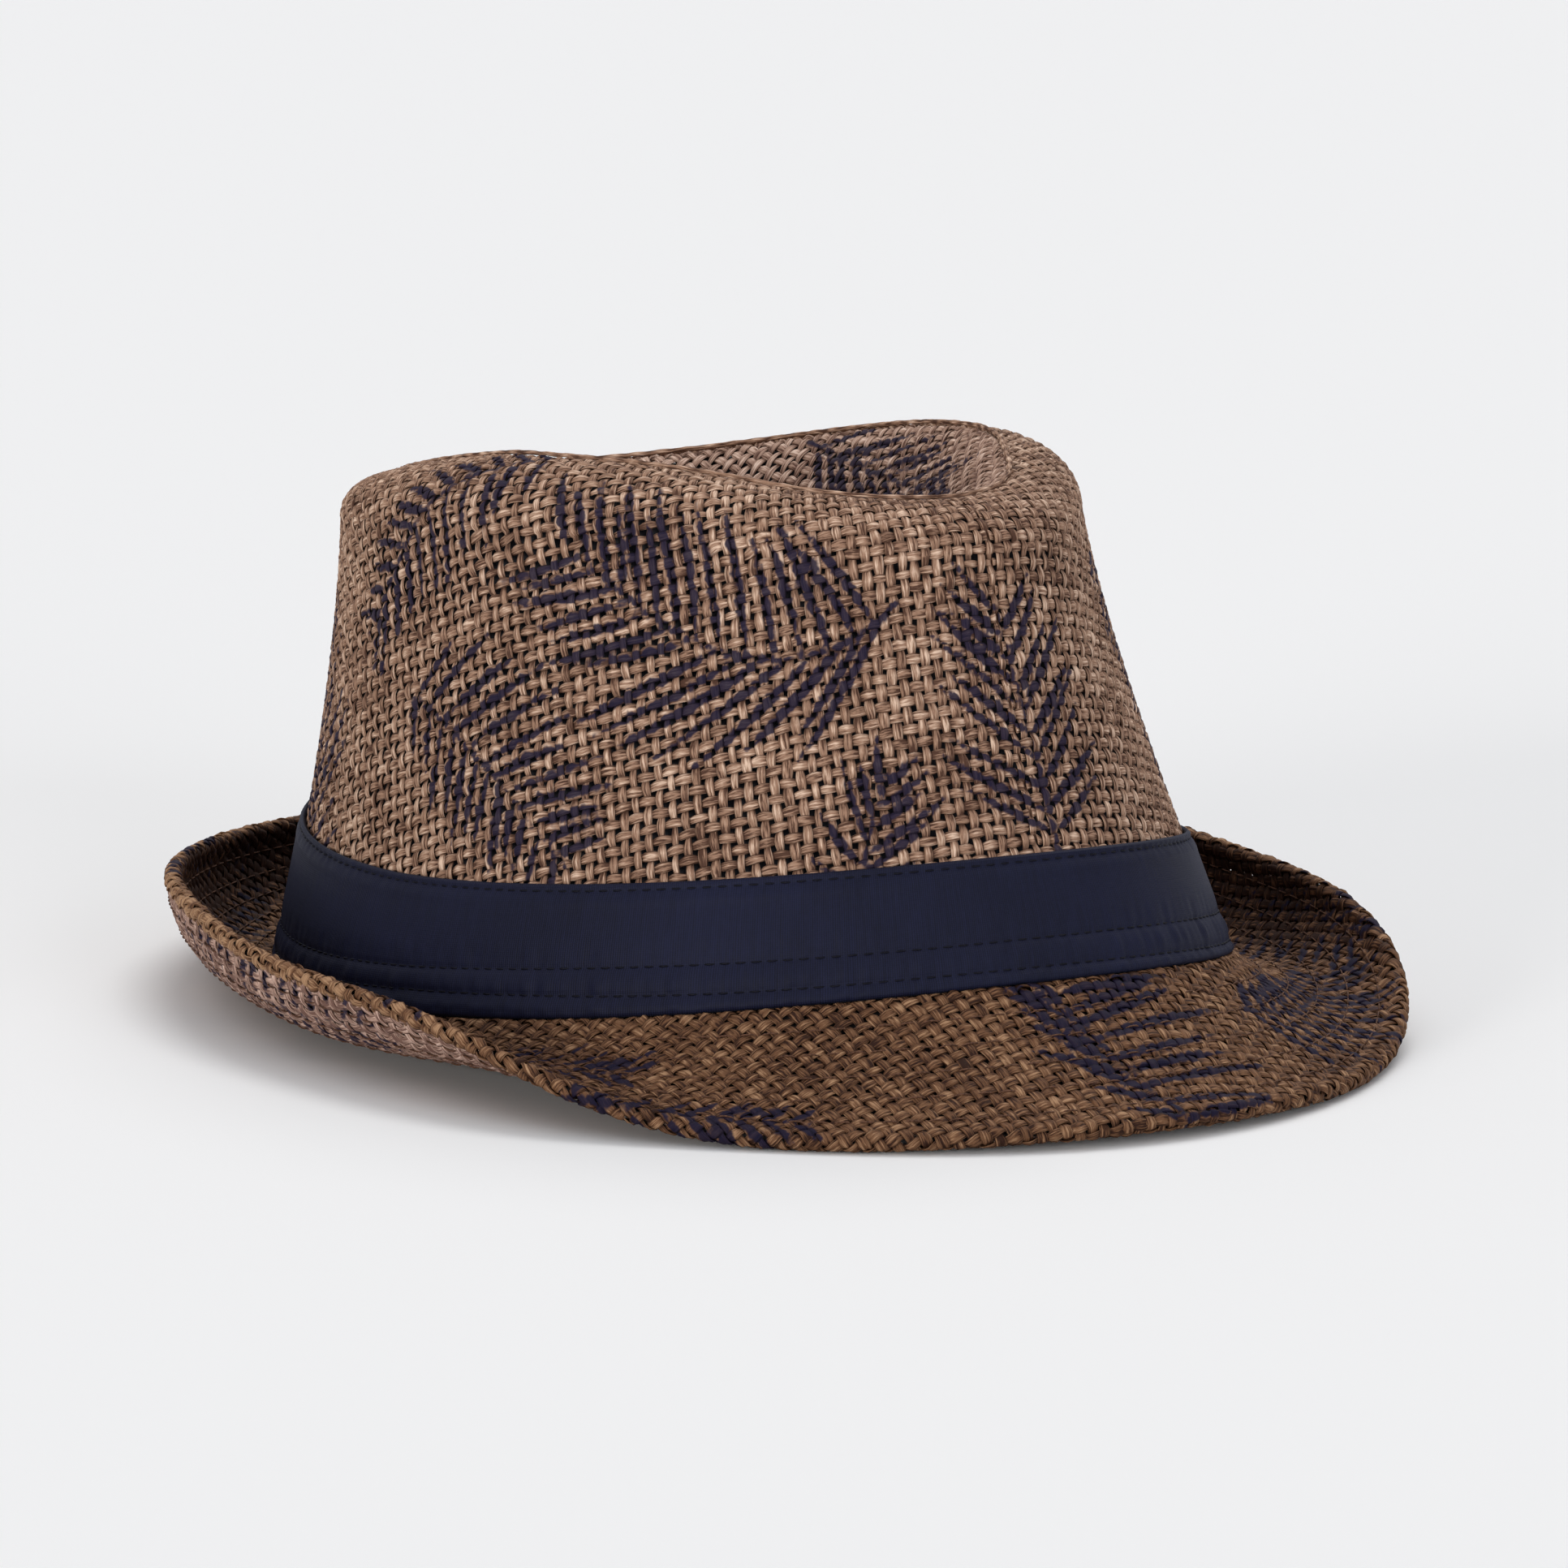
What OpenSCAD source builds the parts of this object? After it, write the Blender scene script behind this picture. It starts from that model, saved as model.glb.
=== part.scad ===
// Short-brim fedora of woven paper straw, with a cloth hatband and a sewn-in sweatband.
// The hat stands on a table: +Z is up, the front points along -Y, and the wearer's left is +X.
// The crown and brim are first drawn about the headline, the oval where they meet, and then
// leaned back until the front brim edge and the back of the brim rest on the table.
// Angles called t run round the hat: 0 at the front, 90 at the wearer's left, 180 at the back.

/* [Headline oval] */
// Length of the crown over the straw, front to back
crown_len = 210; // [185:1:225]
// Width of the crown over the straw
crown_wid = 175; // [155:1:190]
// How much narrower the front of the oval is than the back, as a share of the width
egg = 0.03; // [0:0.01:0.06]
// How far the headline dips at the temples
headline_dip = 6.7; // [0:0.1:10]

/* [Crown] */
// Height of the crown's crest at the sides
crown_height = 99; // [88:0.5:115]
// Drop of the crest at the front
front_drop = 10.8; // [0:0.1:14]
// Angle from the front where that drop is half done
front_drop_angle = 46; // [35:1:60]
// How gently that drop comes on, as an angle
front_drop_ease = 14; // [11:1:17]
// Drop of the crest at the back
back_drop = 8; // [0:0.1:14]
// Angle from the front where the drop to the back starts
back_drop_angle = 84; // [70:1:100]
// Extra height of the wearer's left crest, from shaping by hand
crown_lean = 1; // [0:0.1:3]
// How far the wall leans in at the sides, from headline to shoulder
side_inset = 21.5; // [12:0.1:26]
// How far the wall leans in at the front
front_inset = 20; // [12:0.1:26]
// How far the wall leans in at the back
back_inset = 10.5; // [6:0.1:20]
// Curve of the wall: 1 is straight, more flares at the headline
wall_curve = 1.4; // [1:0.05:2]
// Depth of the two dents of the front pinch
pinch_depth = 5.2; // [0:0.1:9]
// Angle from the front to the middle of each dent
pinch_angle = 46; // [38:1:55]
// Half width of each dent, as an angle
pinch_spread = 26; // [18:1:32]
// How high the dents sit: more keeps them nearer the crest
pinch_rise = 1.6; // [1.2:0.1:2.2]

/* [Shoulder and crease] */
// Width of the rolled shoulder at the sides
shoulder_side = 17; // [10:0.5:19]
// Width of the rolled shoulder at the front
shoulder_front = 13; // [8:0.5:18]
// Width of the rolled shoulder at the back
shoulder_back = 9.5; // [6:0.5:16]
// Angle from the front where the shoulder is half way from its front to its side width
shoulder_angle = 50; // [42:1:58]
// How gently that width changes, as an angle
shoulder_ease = 9; // [7:1:12]
// Depth of the teardrop crease at the sides and back
crease_depth = 22; // [12:0.5:26]
// Depth of the crease at its front point
crease_front_depth = 10; // [5:0.5:14]
// Angle from the front where the crease is half way between those depths
crease_angle = 40; // [34:1:46]
// How gently its depth changes, as an angle
crease_ease = 10; // [8:1:13]
// How hollow its sloping wall is: 0 is straight
crease_hollow = 0.45; // [0.2:0.05:0.6]
// Width of the crease's sloping wall at the sides
crease_side_slope = 20; // [14:0.5:24]
// Width of the crease's sloping wall at the front
crease_front_slope = 34; // [24:0.5:40]
// Width of the crease's sloping wall at the back
crease_back_slope = 26; // [18:0.5:34]
// Rise of the crease's floor towards its middle
tip_dome = 4; // [0:0.5:8]
// Place of that middle behind the middle of the crown
tip_centre = 8; // [0:0.5:15]

/* [Brim] */
// Width of the brim at the front
brim_front = 39; // [34:0.5:48]
// Width of the brim at the sides
brim_side = 35; // [30:0.5:42]
// Width of the brim at the back
brim_back = 28.5; // [26:0.5:38]
// Slope of the snapped-down front, next to the crown
front_inner_angle = -40; // [-45:1:-30]
// Slope of the snapped-down front at the edge
front_edge_angle = -33; // [-42:1:-26]
// Slope behind the side, next to the crown
side_inner_angle = 5; // [-8:1:8]
// Slope of the curled-up side at the edge
side_edge_angle = 100; // [70:1:104]
// How much more the left side's edge is curled than the right's: half the difference
curl_skew_angle = 12; // [0:1:14]
// Slope of the back next to the crown
back_inner_angle = 1; // [-5:1:8]
// Slope of the curled-up back at the edge
back_edge_angle = 104; // [70:1:106]
// Angle from the front where the edge turns from the snap into the curl
snap_angle = 56; // [50:1:64]
// Angle from the front where the brim next to the crown stops sloping down
gutter_angle = 93; // [80:1:100]
// How gently both do so, as an angle
snap_ease = 8.7; // [7:0.1:12]
// Depth of the turned hem at the brim's edge
hem = 6; // [5:0.5:8]
// Rows of topstitching round the brim
stitch_rows = 5; // [4:1:6]

/* [Materials] */
// Thickness of the woven straw of the crown
straw_t = 1.2; // [0.8:0.1:1.6]
// Thickness of each straw ply of the brim
ply_t = 1.1; // [0.8:0.1:1.4]
// Thickness of the stiff interlining between the plies
interlining_t = 0.3; // [0.2:0.05:0.5]
// Radius of the wire in the brim's edge
wire_r = 0.8; // [0.6:0.05:1]
// Thickness of the hatband's cloth
band_t = 0.9; // [0.6:0.1:1.2]
// Thickness of the sweatband
sweat_t = 0.9; // [0.6:0.1:1.4]
// Thickness of the seam tapes
tape_t = 0.4; // [0.3:0.05:0.6]
// Height of a thread above the cloth it is sewn through
thread_h = 0.5; // [0.3:0.05:0.7]
// Width of a thread
thread_w = 0.8; // [0.5:0.05:1]
// Space left between one layer and the next
layer_gap = 0.2; // [0.12:0.01:0.3]
// Space left under a thread
thread_gap = 0.25; // [0.15:0.01:0.3]
// Space left under a seam tape
tape_gap = 0.35; // [0.3:0.05:0.5]
// Space left under the hatband
band_gap = 0.4; // [0.3:0.05:0.6]

/* [Hatband] */
// Height of the band at the sides
band_side = 26.5; // [22:0.5:32]
// Height of the band at the front
band_front = 24; // [20:0.5:30]
// Height of the band at the back
band_back = 31; // [24:0.5:36]
// Height of the lower row of stitches that holds the band to the crown
band_low_stitch = 4; // [3:0.1:5]
// Height of the upper of those two rows
band_mid_stitch = 9; // [7:0.1:12]
// Depth of the stitches below the band's top edge
band_hem = 1.4; // [1:0.1:3]
// Length of the band's end that laps over its start at the back
band_lap = 18; // [12:1:30]

/* [Inside] */
// Width of the sweatband
sweat_h = 32; // [25:1:36]
// Height of its stitch row above the headline
sweat_stitch = 2; // [1.5:0.1:4]
// Height of the brim's inner edge, turned up inside the crown and sewn to it
seam_allow = 8; // [6:0.5:10]
// Width of the tape over the crown's back seam
back_tape_w = 16; // [10:1:20]
// Width of the tape over the sweatband's back join
join_tape_w = 12; // [8:1:20]
// Thickness of the dark lining behind the open weave
lining_t = 0.4; // [0.3:0.05:0.5]
// Height of the lining's lower edge, behind the sweatband
lining_foot = 12; // [11:0.5:20]

/* [Hidden] */

straw = [0.55, 0.42, 0.29];
straw_under = [0.47, 0.36, 0.26];
navy = [0.12, 0.13, 0.22];
navy_thread = [0.06, 0.06, 0.11];
brown_thread = [0.27, 0.17, 0.12];
lining = [0.10, 0.10, 0.14];
tape = [0.16, 0.15, 0.17];
steel = [0.6, 0.6, 0.62];

around = 48;                                  // stations round the hat
turn = [for (i = [0 : around - 1]) 360 * i / around];
step = 0.01;                                  // small step for slopes
wall_stations = [0, 0.2, 0.4, 0.6, 0.8, 1];
shoulder_stations = [1.25, 1.5, 1.75, 2];
slope_stations = [2.2, 2.4, 2.6, 2.8, 3];
floor_stations = [3.35, 3.7];
shoulder_rise = 0.8;                          // height of the rolled shoulder over its width
inset_power = 1.5;                            // how soon the wall's lean changes round the hat
slope_power = 1.5;                            // how soon the crease's slope changes round the hat
brim_power = 2;                               // how soon the brim's width changes round the hat
lap_ramp = 4;                                 // angle over which the hatband climbs onto its start
lap_step = 0.1;                               // angle of the step at the hatband's end
stack = interlining_t / 2 + layer_gap + ply_t; // half the brim's thickness
rim_r = wire_r + layer_gap + ply_t;           // radius of the rolled edge
flange_in = straw_t + layer_gap;              // inside face of the crown wall, plus a gap
sweat_in = flange_in + 2 * (ply_t + layer_gap);
lining_in = sweat_in - 2 * layer_gap - lining_t; // outside face of the lining
wall_base = stack + layer_gap;                // the crown wall stands on the brim

// ---- Numbers and curves

function limit(u) = max(0, min(1, u));
function unit(v) = v / norm(v);
function up(h) = [0, 0, h];
// Goes from 1 to 0 round the angle c, over about 4 * w
function fade(a, c, w) = 1 / (1 + exp((a - c) / w));
// Goes smoothly from 0 to 1
function ease(u) = (1 - cos(180 * limit(u))) / 2;
function from_front(t) = acos(max(-1, min(1, cos(t))));
// Blends three values of the hat's front, side and back
function blend(t, front, side, back, power) =
    side + (front - side) * pow(max(cos(t), 0), power)
    + (back - side) * pow(max(-cos(t), 0), power);

// ---- The headline

function plan(t) = [crown_wid / 2 * sin(t) * (1 - egg * cos(t)), -crown_len / 2 * cos(t), 0];
function outward(t) =
    unit([crown_len / 2 * sin(t), -crown_wid / 2 * (cos(t) - egg * cos(2 * t)), 0]);
function headline_z(t) = -headline_dip * pow(sin(t), 2);

// ---- The crown: v runs 0 to 1 up the wall, to 2 over the shoulder, to 3 down the crease's
// slope and to 4 at the middle of its floor

function crest_z(t) = crown_height + crown_lean * sin(t)
    - front_drop * fade(from_front(t), front_drop_angle, front_drop_ease)
    - back_drop * ease((from_front(t) - back_drop_angle) / (180 - back_drop_angle));
function shoulder_w(t) = shoulder_side
    + (shoulder_front - shoulder_side) * fade(from_front(t), shoulder_angle, shoulder_ease)
    + (shoulder_back - shoulder_side) * ease((from_front(t) - 90) / 90);
function wall_top(t) = crest_z(t) - shoulder_rise * shoulder_w(t);
function pinch(t, v) =
    pinch_depth * exp(-pow((from_front(t) - pinch_angle) / pinch_spread, 2)) * pow(v, pinch_rise);
function wall_inset(t, v) = pinch(t, v)
    + blend(t, front_inset, side_inset, back_inset, inset_power) * (1 - pow(1 - v, wall_curve));

// A point of the wall at the height h above the headline, moved inwards by d
function wall_at(t, h, d) =
    let (v = h / (wall_top(t) - headline_z(t)))
    plan(t) - outward(t) * (wall_inset(t, limit(v)) + d) + up(headline_z(t) + h);

function wall_pt(t, v) = wall_at(t, wall_base * (1 - v) + (wall_top(t) - headline_z(t)) * v, 0);
function shoulder_pt(t, u) = wall_pt(t, 1)
    - outward(t) * shoulder_w(t) * (1 - cos(90 * u))
    + up(shoulder_rise * shoulder_w(t) * sin(90 * u));

function crease_drop(t) = crease_depth
    + (crease_front_depth - crease_depth) * fade(from_front(t), crease_angle, crease_ease);
tip_middle = [0, tip_centre, crown_height - crease_depth + tip_dome];
function to_middle(t) = let (c = tip_middle - shoulder_pt(t, 1)) [c[0], c[1], 0];
function slope_w(t) =
    blend(t, crease_front_slope, crease_side_slope, crease_back_slope, slope_power);
function slope_pt(t, u) = shoulder_pt(t, 1)
    + unit(to_middle(t)) * slope_w(t) * u
    - up(crease_drop(t) * ((1 - crease_hollow) * u + crease_hollow * ease(u)));
function floor_pt(t, u) =
    let (a = slope_pt(t, 1), b = tip_middle)
    [a[0] + (b[0] - a[0]) * u, a[1] + (b[1] - a[1]) * u, a[2] + (b[2] - a[2]) * ease(u)];
function crown_pt(t, v) =
    v <= 1 ? wall_pt(t, v) : v <= 2 ? shoulder_pt(t, v - 1)
    : v <= 3 ? slope_pt(t, v - 2) : floor_pt(t, v - 3);

// The outward normal, taken on the side where the surface runs on from v towards `side`
function crown_normal(t, v, side) =
    let (p = crown_pt(t, v),
        a = crown_pt(t + step, v) - p,
        b = (crown_pt(t, v + side * step) - p) * side)
    unit(cross(a, b));
// A point of the inner face; the wall's foot is cut level
function crown_in(t, v, d) =
    let (n = v == 0 ? outward(t)
        : v == 2 ? unit(crown_normal(t, 2, -1) + crown_normal(t, 2, 1)) : crown_normal(t, v, -1))
    crown_pt(t, v) - n * d;

// ---- The brim: x runs out from the crown in millimetres, h is the height over its middle

function brim_w(t) = blend(t, brim_front, brim_side, brim_back, brim_power);
// A slope that goes from its value at the front to those behind it round the angle turn_at
function brim_slope(t, turn_at, front, side, back) =
    let (snap = fade(from_front(t), turn_at, snap_ease))
    front * snap + (1 - snap) * blend(t, side, side, back, 1);
function inner_slope(t) =
    brim_slope(t, gutter_angle, front_inner_angle, side_inner_angle, back_inner_angle);
function edge_slope(t) = brim_slope(
    t, snap_angle, front_edge_angle, side_edge_angle + curl_skew_angle * sin(t), back_edge_angle);
// The brim's section is an arc whose slope runs from its start to its end value
function brim_pt(t, x) =
    let (a = inner_slope(t),
        b = edge_slope(t),
        turned = abs(b - a) < 0.1 ? 0.1 : b - a,
        r = brim_w(t) / turned * 180 / PI,
        s = a + turned * x / brim_w(t))
    plan(t) + outward(t) * r * (sin(s) - sin(a)) + up(headline_z(t) + r * (cos(a) - cos(s)));
function brim_normal(t, x) =
    let (p = brim_pt(t, x), a = brim_pt(t + step, x) - p, b = brim_pt(t, x + step) - p)
    unit(cross(b, a));
function brim_at(t, x, h) = brim_pt(t, x) + brim_normal(t, x) * h;
function row_x(t, k) = k * (brim_w(t) - hem) / stitch_rows;
function wire_x(t) = brim_w(t) - rim_r;
// A point on a circle round the wire; 90 is on top and 0 is outermost
function rim_at(t, r, a) = brim_at(t, wire_x(t) + r * cos(a), r * sin(a));

// ---- The hat's rest: leaned back by rest_tilt, both ends of the brim touch the table

under_skin = [for (t = turn) each concat(
    [for (k = [0 : stitch_rows]) brim_at(t, row_x(t, k), -stack)],
    [for (a = [-90, -45, 0, 45]) rim_at(t, rim_r, a)])];
front_skin = [for (p = under_skin) if (p[1] < 0) p];
back_skin = [for (p = under_skin) if (p[1] > 0) p];
function lean_z(p, a) = p[2] * cos(a) - p[1] * sin(a);
function lean_y(p, a) = p[1] * cos(a) + p[2] * sin(a);
function lowest(points, a) = min([for (p = points) lean_z(p, a)]);
function find_tilt(low, high, turns) =
    let (a = (low + high) / 2)
    turns == 0 ? a
    : lowest(front_skin, a) < lowest(back_skin, a) ? find_tilt(a, high, turns - 1)
    : find_tilt(low, a, turns - 1);
rest_tilt = find_tilt(-5, 20, 16);
rest_lift = -lowest(under_skin, rest_tilt);
rest_y = -(min([for (p = under_skin) lean_y(p, rest_tilt)])
    + max([for (p = under_skin) lean_y(p, rest_tilt)])) / 2;
rest_x = -(min([for (p = under_skin) p[0]]) + max([for (p = under_skin) p[0]])) / 2;

module at_rest() {
    translate([rest_x, rest_y, rest_lift]) rotate([-rest_tilt, 0, 0]) children();
}

// ---- Solids

// Two triangles between each pair of neighbours in the rings a and b, numbered from first on.
// With flip the other diagonal is used, so that a layer's two faces are cut the same way.
function strip(a, b, n, closed, flip, first = 0) = [for (i = [0 : n - (closed ? 1 : 2)])
    let (j = (i + 1) % n, ai = first + a * n + i, aj = first + a * n + j,
        bi = first + b * n + i, bj = first + b * n + j)
    each flip ? [[ai, bi, aj], [bi, bj, aj]] : [[ai, bi, bj], [ai, bj, aj]]];

// A ring-shaped solid: each loop is one station's closed outline, which runs up its outer face
// and down its inner one, or out along its underside and back along its top
module ring_solid(loops) {
    n = len(loops);
    m = len(loops[0]);
    polyhedron(
        points = [for (k = [0 : m - 1]) each [for (i = [0 : n - 1]) loops[i][k]]],
        faces = [for (k = [0 : m - 1]) each strip(k, (k + 1) % m, n, true, k >= m / 2)]);
}

// A bar-shaped solid: the same loops, with a flat cap at each end
module bar_solid(loops) {
    n = len(loops);
    m = len(loops[0]);
    polyhedron(
        points = [for (k = [0 : m - 1]) each [for (i = [0 : n - 1]) loops[i][k]]],
        faces = concat(
            [for (k = [0 : m - 1]) each strip(k, (k + 1) % m, n, false, k >= m / 2)],
            [for (k = [0 : m / 2 - 2]) each
                [[k * n, (m - 1 - k) * n, (m - 2 - k) * n], [k * n, (m - 2 - k) * n, (k + 1) * n]]],
            [for (k = [1 : m / 2 - 1]) each
                [[k * n - 1, (k + 1) * n - 1, (m - k) * n - 1],
                    [k * n - 1, (m - k) * n - 1, (m - k + 1) * n - 1]]]));
}

// A lid-shaped solid: rings from the middle out along the top and back along the underside
module lid_solid(top_middle, rings, low_middle) {
    n = len(rings[0]);
    m = len(rings);
    polyhedron(
        points = concat([top_middle, low_middle], [for (r = rings) each r]),
        faces = concat(
            [for (i = [0 : n - 1]) [0, 2 + (i + 1) % n, 2 + i]],
            [for (k = [0 : m - 2]) each strip(k + 1, k, n, true, k < m / 2, 2)],
            [for (i = [0 : n - 1]) [1, 2 + (m - 1) * n + i, 2 + (m - 1) * n + (i + 1) % n]]));
}

// ---- Crown

module crown_side() {
    stations = concat(wall_stations, shoulder_stations);
    color(straw) at_rest() ring_solid([for (t = turn) concat(
        [for (v = stations) crown_pt(t, v)],
        [for (k = [len(stations) - 1 : -1 : 0]) crown_in(t, stations[k], straw_t)])]);
}

module crown_tip() {
    stations = concat([2], slope_stations, floor_stations);
    last = len(stations) - 1;
    color(straw) at_rest() lid_solid(
        tip_middle,
        concat(
            [for (k = [last : -1 : 0]) [for (t = turn) crown_pt(t, stations[k])]],
            [for (k = [0 : last]) [for (t = turn) crown_in(t, stations[k], straw_t)]]),
        tip_middle - up(straw_t));
}

// The seam that joins the tip to the side lies under the crest
module crown_tip_seam_thread() {
    color(brown_thread) at_rest() ring_solid([for (t = turn)
        let (p = crown_in(t, 2, straw_t + thread_gap + thread_w / 2), w = outward(t) * thread_w / 2)
        [p + w, p - w, p - up(2 * thread_h)]]);
}

// Covers the seam at the back where the two ends of the crown's side meet
module crown_back_seam_tape() {
    half = back_tape_w / crown_wid * 180 / PI;
    low = seam_allow + 2;
    high = wall_top(180) - headline_z(180) - 2;
    rows = [for (k = [0 : 5]) low + (high - low) * k / 5];
    color(tape) at_rest() bar_solid([for (t = [180 - half, 180, 180 + half]) concat(
        [for (h = rows) wall_at(t, h, straw_t + tape_gap)],
        [for (k = [5 : -1 : 0]) wall_at(t, rows[k], straw_t + tape_gap + tape_t)])]);
}

// A thin cloth cap inside the crown, sewn in behind the sweatband
module crown_lining() {
    stations = [3.35, 3, 2.5, 2, 1.5, 1, 0.5];
    far = lining_in + lining_t;
    color(lining) at_rest() lid_solid(
        tip_middle - up(lining_in),
        concat(
            [for (v = stations) [for (t = turn) crown_in(t, v, lining_in)]],
            [[for (t = turn) wall_at(t, lining_foot, lining_in)]],
            [[for (t = turn) wall_at(t, lining_foot, far)]],
            [for (k = [len(stations) - 1 : -1 : 0]) [for (t = turn) crown_in(t, stations[k], far)]]),
        tip_middle - up(far));
}

// ---- Brim

// The upper ply is turned up inside the crown and rolled over the wire at the edge
module brim_upper_ply() {
    low = stack - ply_t;
    color(straw) at_rest() ring_solid([for (t = turn) concat(
        [wall_at(t, seam_allow, flange_in + ply_t), wall_at(t, low, flange_in + ply_t)],
        [for (k = [0 : stitch_rows]) brim_at(t, row_x(t, k), low)],
        [for (a = [90 : -45 : -90]) rim_at(t, rim_r - ply_t, a)],
        [for (a = [-90 : 45 : 90]) rim_at(t, rim_r, a)],
        [for (k = [stitch_rows : -1 : 0]) brim_at(t, row_x(t, k), stack)],
        [wall_at(t, stack, flange_in), wall_at(t, seam_allow, flange_in)])]);
}

module brim_lower_ply() {
    high = -(stack - ply_t);
    inner = flange_in + ply_t + layer_gap;
    edge = wire_r + layer_gap;
    color(straw_under) at_rest() ring_solid([for (t = turn) concat(
        [wall_at(t, seam_allow, inner + ply_t), wall_at(t, high, inner + ply_t)],
        [for (k = [0 : stitch_rows]) brim_at(t, row_x(t, k), -stack)],
        [brim_at(t, wire_x(t) - edge, -stack), brim_at(t, wire_x(t) - edge, high)],
        [for (k = [stitch_rows : -1 : 0]) brim_at(t, row_x(t, k), high)],
        [wall_at(t, -high, inner), wall_at(t, seam_allow, inner)])]);
}

module brim_interlining() {
    half = interlining_t / 2;
    color(lining) at_rest() ring_solid([for (t = turn) concat(
        [for (k = [0 : stitch_rows]) brim_at(t, row_x(t, k), -half)],
        [for (k = [stitch_rows : -1 : 0]) brim_at(t, row_x(t, k), half)])]);
}

module brim_edge_wire() {
    color(steel) at_rest() ring_solid([for (t = turn)
        [for (a = [0 : 60 : 300]) rim_at(t, wire_r, a)]]);
}

module brim_topstitching() {
    base = stack + thread_gap;
    color(brown_thread) at_rest() for (k = [1 : stitch_rows]) ring_solid([for (t = turn)
        let (x = row_x(t, k), half = thread_w / 2)
        [brim_at(t, x + half, base), brim_at(t, x, base + thread_h), brim_at(t, x - half, base)]]);
}

// Binds the raw edges of the seam between crown and brim
module headline_overlock_thread() {
    far = flange_in + 2 * ply_t + layer_gap;
    base = seam_allow + layer_gap;
    color(brown_thread) at_rest() ring_solid([for (t = turn)
        [wall_at(t, base, flange_in), wall_at(t, base + thread_h, flange_in),
            wall_at(t, base + thread_h, far), wall_at(t, base, far)]]);
}

// ---- Sweatband

module sweatband() {
    rows = [0, seam_allow, (seam_allow + sweat_h) / 2, sweat_h];
    color(lining) at_rest() ring_solid([for (t = turn) concat(
        [for (h = rows) wall_at(t, h, sweat_in)],
        [for (k = [3 : -1 : 0]) wall_at(t, rows[k], sweat_in + sweat_t)])]);
}

module sweatband_stitching() {
    d = sweat_in + sweat_t + thread_gap;
    color(navy_thread) at_rest() ring_solid([for (t = turn)
        [wall_at(t, sweat_stitch - thread_w / 2, d), wall_at(t, sweat_stitch + thread_w / 2, d),
            wall_at(t, sweat_stitch, d + thread_h)]]);
}

module sweatband_join_tape() {
    half = join_tape_w / crown_wid * 180 / PI;
    low = sweat_stitch + thread_w;
    d = sweat_in + sweat_t + tape_gap;
    color(tape) at_rest() bar_solid([for (t = [180 - half, 180, 180 + half])
        [wall_at(t, low, d), wall_at(t, sweat_h - 1, d),
            wall_at(t, sweat_h - 1, d + tape_t), wall_at(t, low, d + tape_t)]]);
}

// ---- Hatband

function band_h(t) = blend(t, band_front, band_side, band_back, 1);
// Heights of the band's stations: its foot, the two stitch rows, its middle, its hem and its top
function band_rows(t) = [wall_base + band_gap, band_low_stitch, band_mid_stitch,
    (band_mid_stitch + band_h(t)) / 2, band_h(t) - band_hem, band_h(t)];
// How thick the band is at each of those stations: pulled in at the stitches, doubled at the hem
band_swell = [1.2, 0.8, 0.8, 1, 1, 1.4];
// The band's end lies over its start between these two angles, and ends in a step
lap_start = 180 - band_lap / crown_wid * 180 / PI;
lap_end = 360 - lap_start;
band_turn = concat([for (t = turn) if (t < lap_start - lap_ramp) t],
    [lap_start - lap_ramp, lap_start, 180, lap_end, lap_end + lap_step],
    [for (t = turn) if (t > lap_end + 1) t]);
function lap(t) = t < lap_start || t > lap_end ? 0 : band_t;
function band_face(t, k) = -band_gap - band_t * band_swell[k] - lap(t);

module hatband() {
    color(navy) at_rest() ring_solid([for (t = band_turn) concat(
        [for (k = [0 : 5]) wall_at(t, band_rows(t)[k], band_face(t, k))],
        [for (k = [5 : -1 : 0]) wall_at(t, band_rows(t)[k], -band_gap)])]);
}

// A row of stitches round the band at the station k
module band_row(k) {
    ring_solid([for (t = band_turn)
        let (h = band_rows(t)[k], d = band_face(t, k) - thread_gap, half = thread_w / 2)
        [wall_at(t, h - half, d), wall_at(t, h, d - thread_h), wall_at(t, h + half, d)]]);
}

module hatband_top_stitching() {
    color(navy_thread) at_rest() band_row(4);
}

module hatband_lower_stitching() {
    color(navy_thread) at_rest() {
        band_row(1);
        band_row(2);
    }
}

// Holds down the end of the band at the back
module hatband_lap_stitching() {
    side = thread_w / crown_wid * 180 / PI;
    t = lap_end - 2 * side;
    color(navy_thread) at_rest() bar_solid([for (k = [2 : 4])
        let (inward = k == 2 ? thread_w : k == 4 ? -thread_w : 0,
            h = band_rows(t)[k] + inward, d = band_face(t, k) - thread_gap)
        [wall_at(t + side, h, d), wall_at(t + side / 2, h, d - thread_h),
            wall_at(t - side / 2, h, d - thread_h), wall_at(t - side, h, d)]]);
}

crown_side();
crown_tip();
crown_tip_seam_thread();
crown_back_seam_tape();
crown_lining();
brim_upper_ply();
brim_lower_ply();
brim_interlining();
brim_edge_wire();
brim_topstitching();
headline_overlock_thread();
sweatband();
sweatband_stitching();
sweatband_join_tape();
hatband();
hatband_top_stitching();
hatband_lower_stitching();
hatband_lap_stitching();
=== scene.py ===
"""A short-brim fedora of woven paper straw, with a cloth hatband, put together as a hatter
makes it: the crown's two cloths, the brim's two plies, the threads, the sweatband, the band."""
import math
import bpy
import numpy as np
from mathutils import Matrix, Vector


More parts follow.
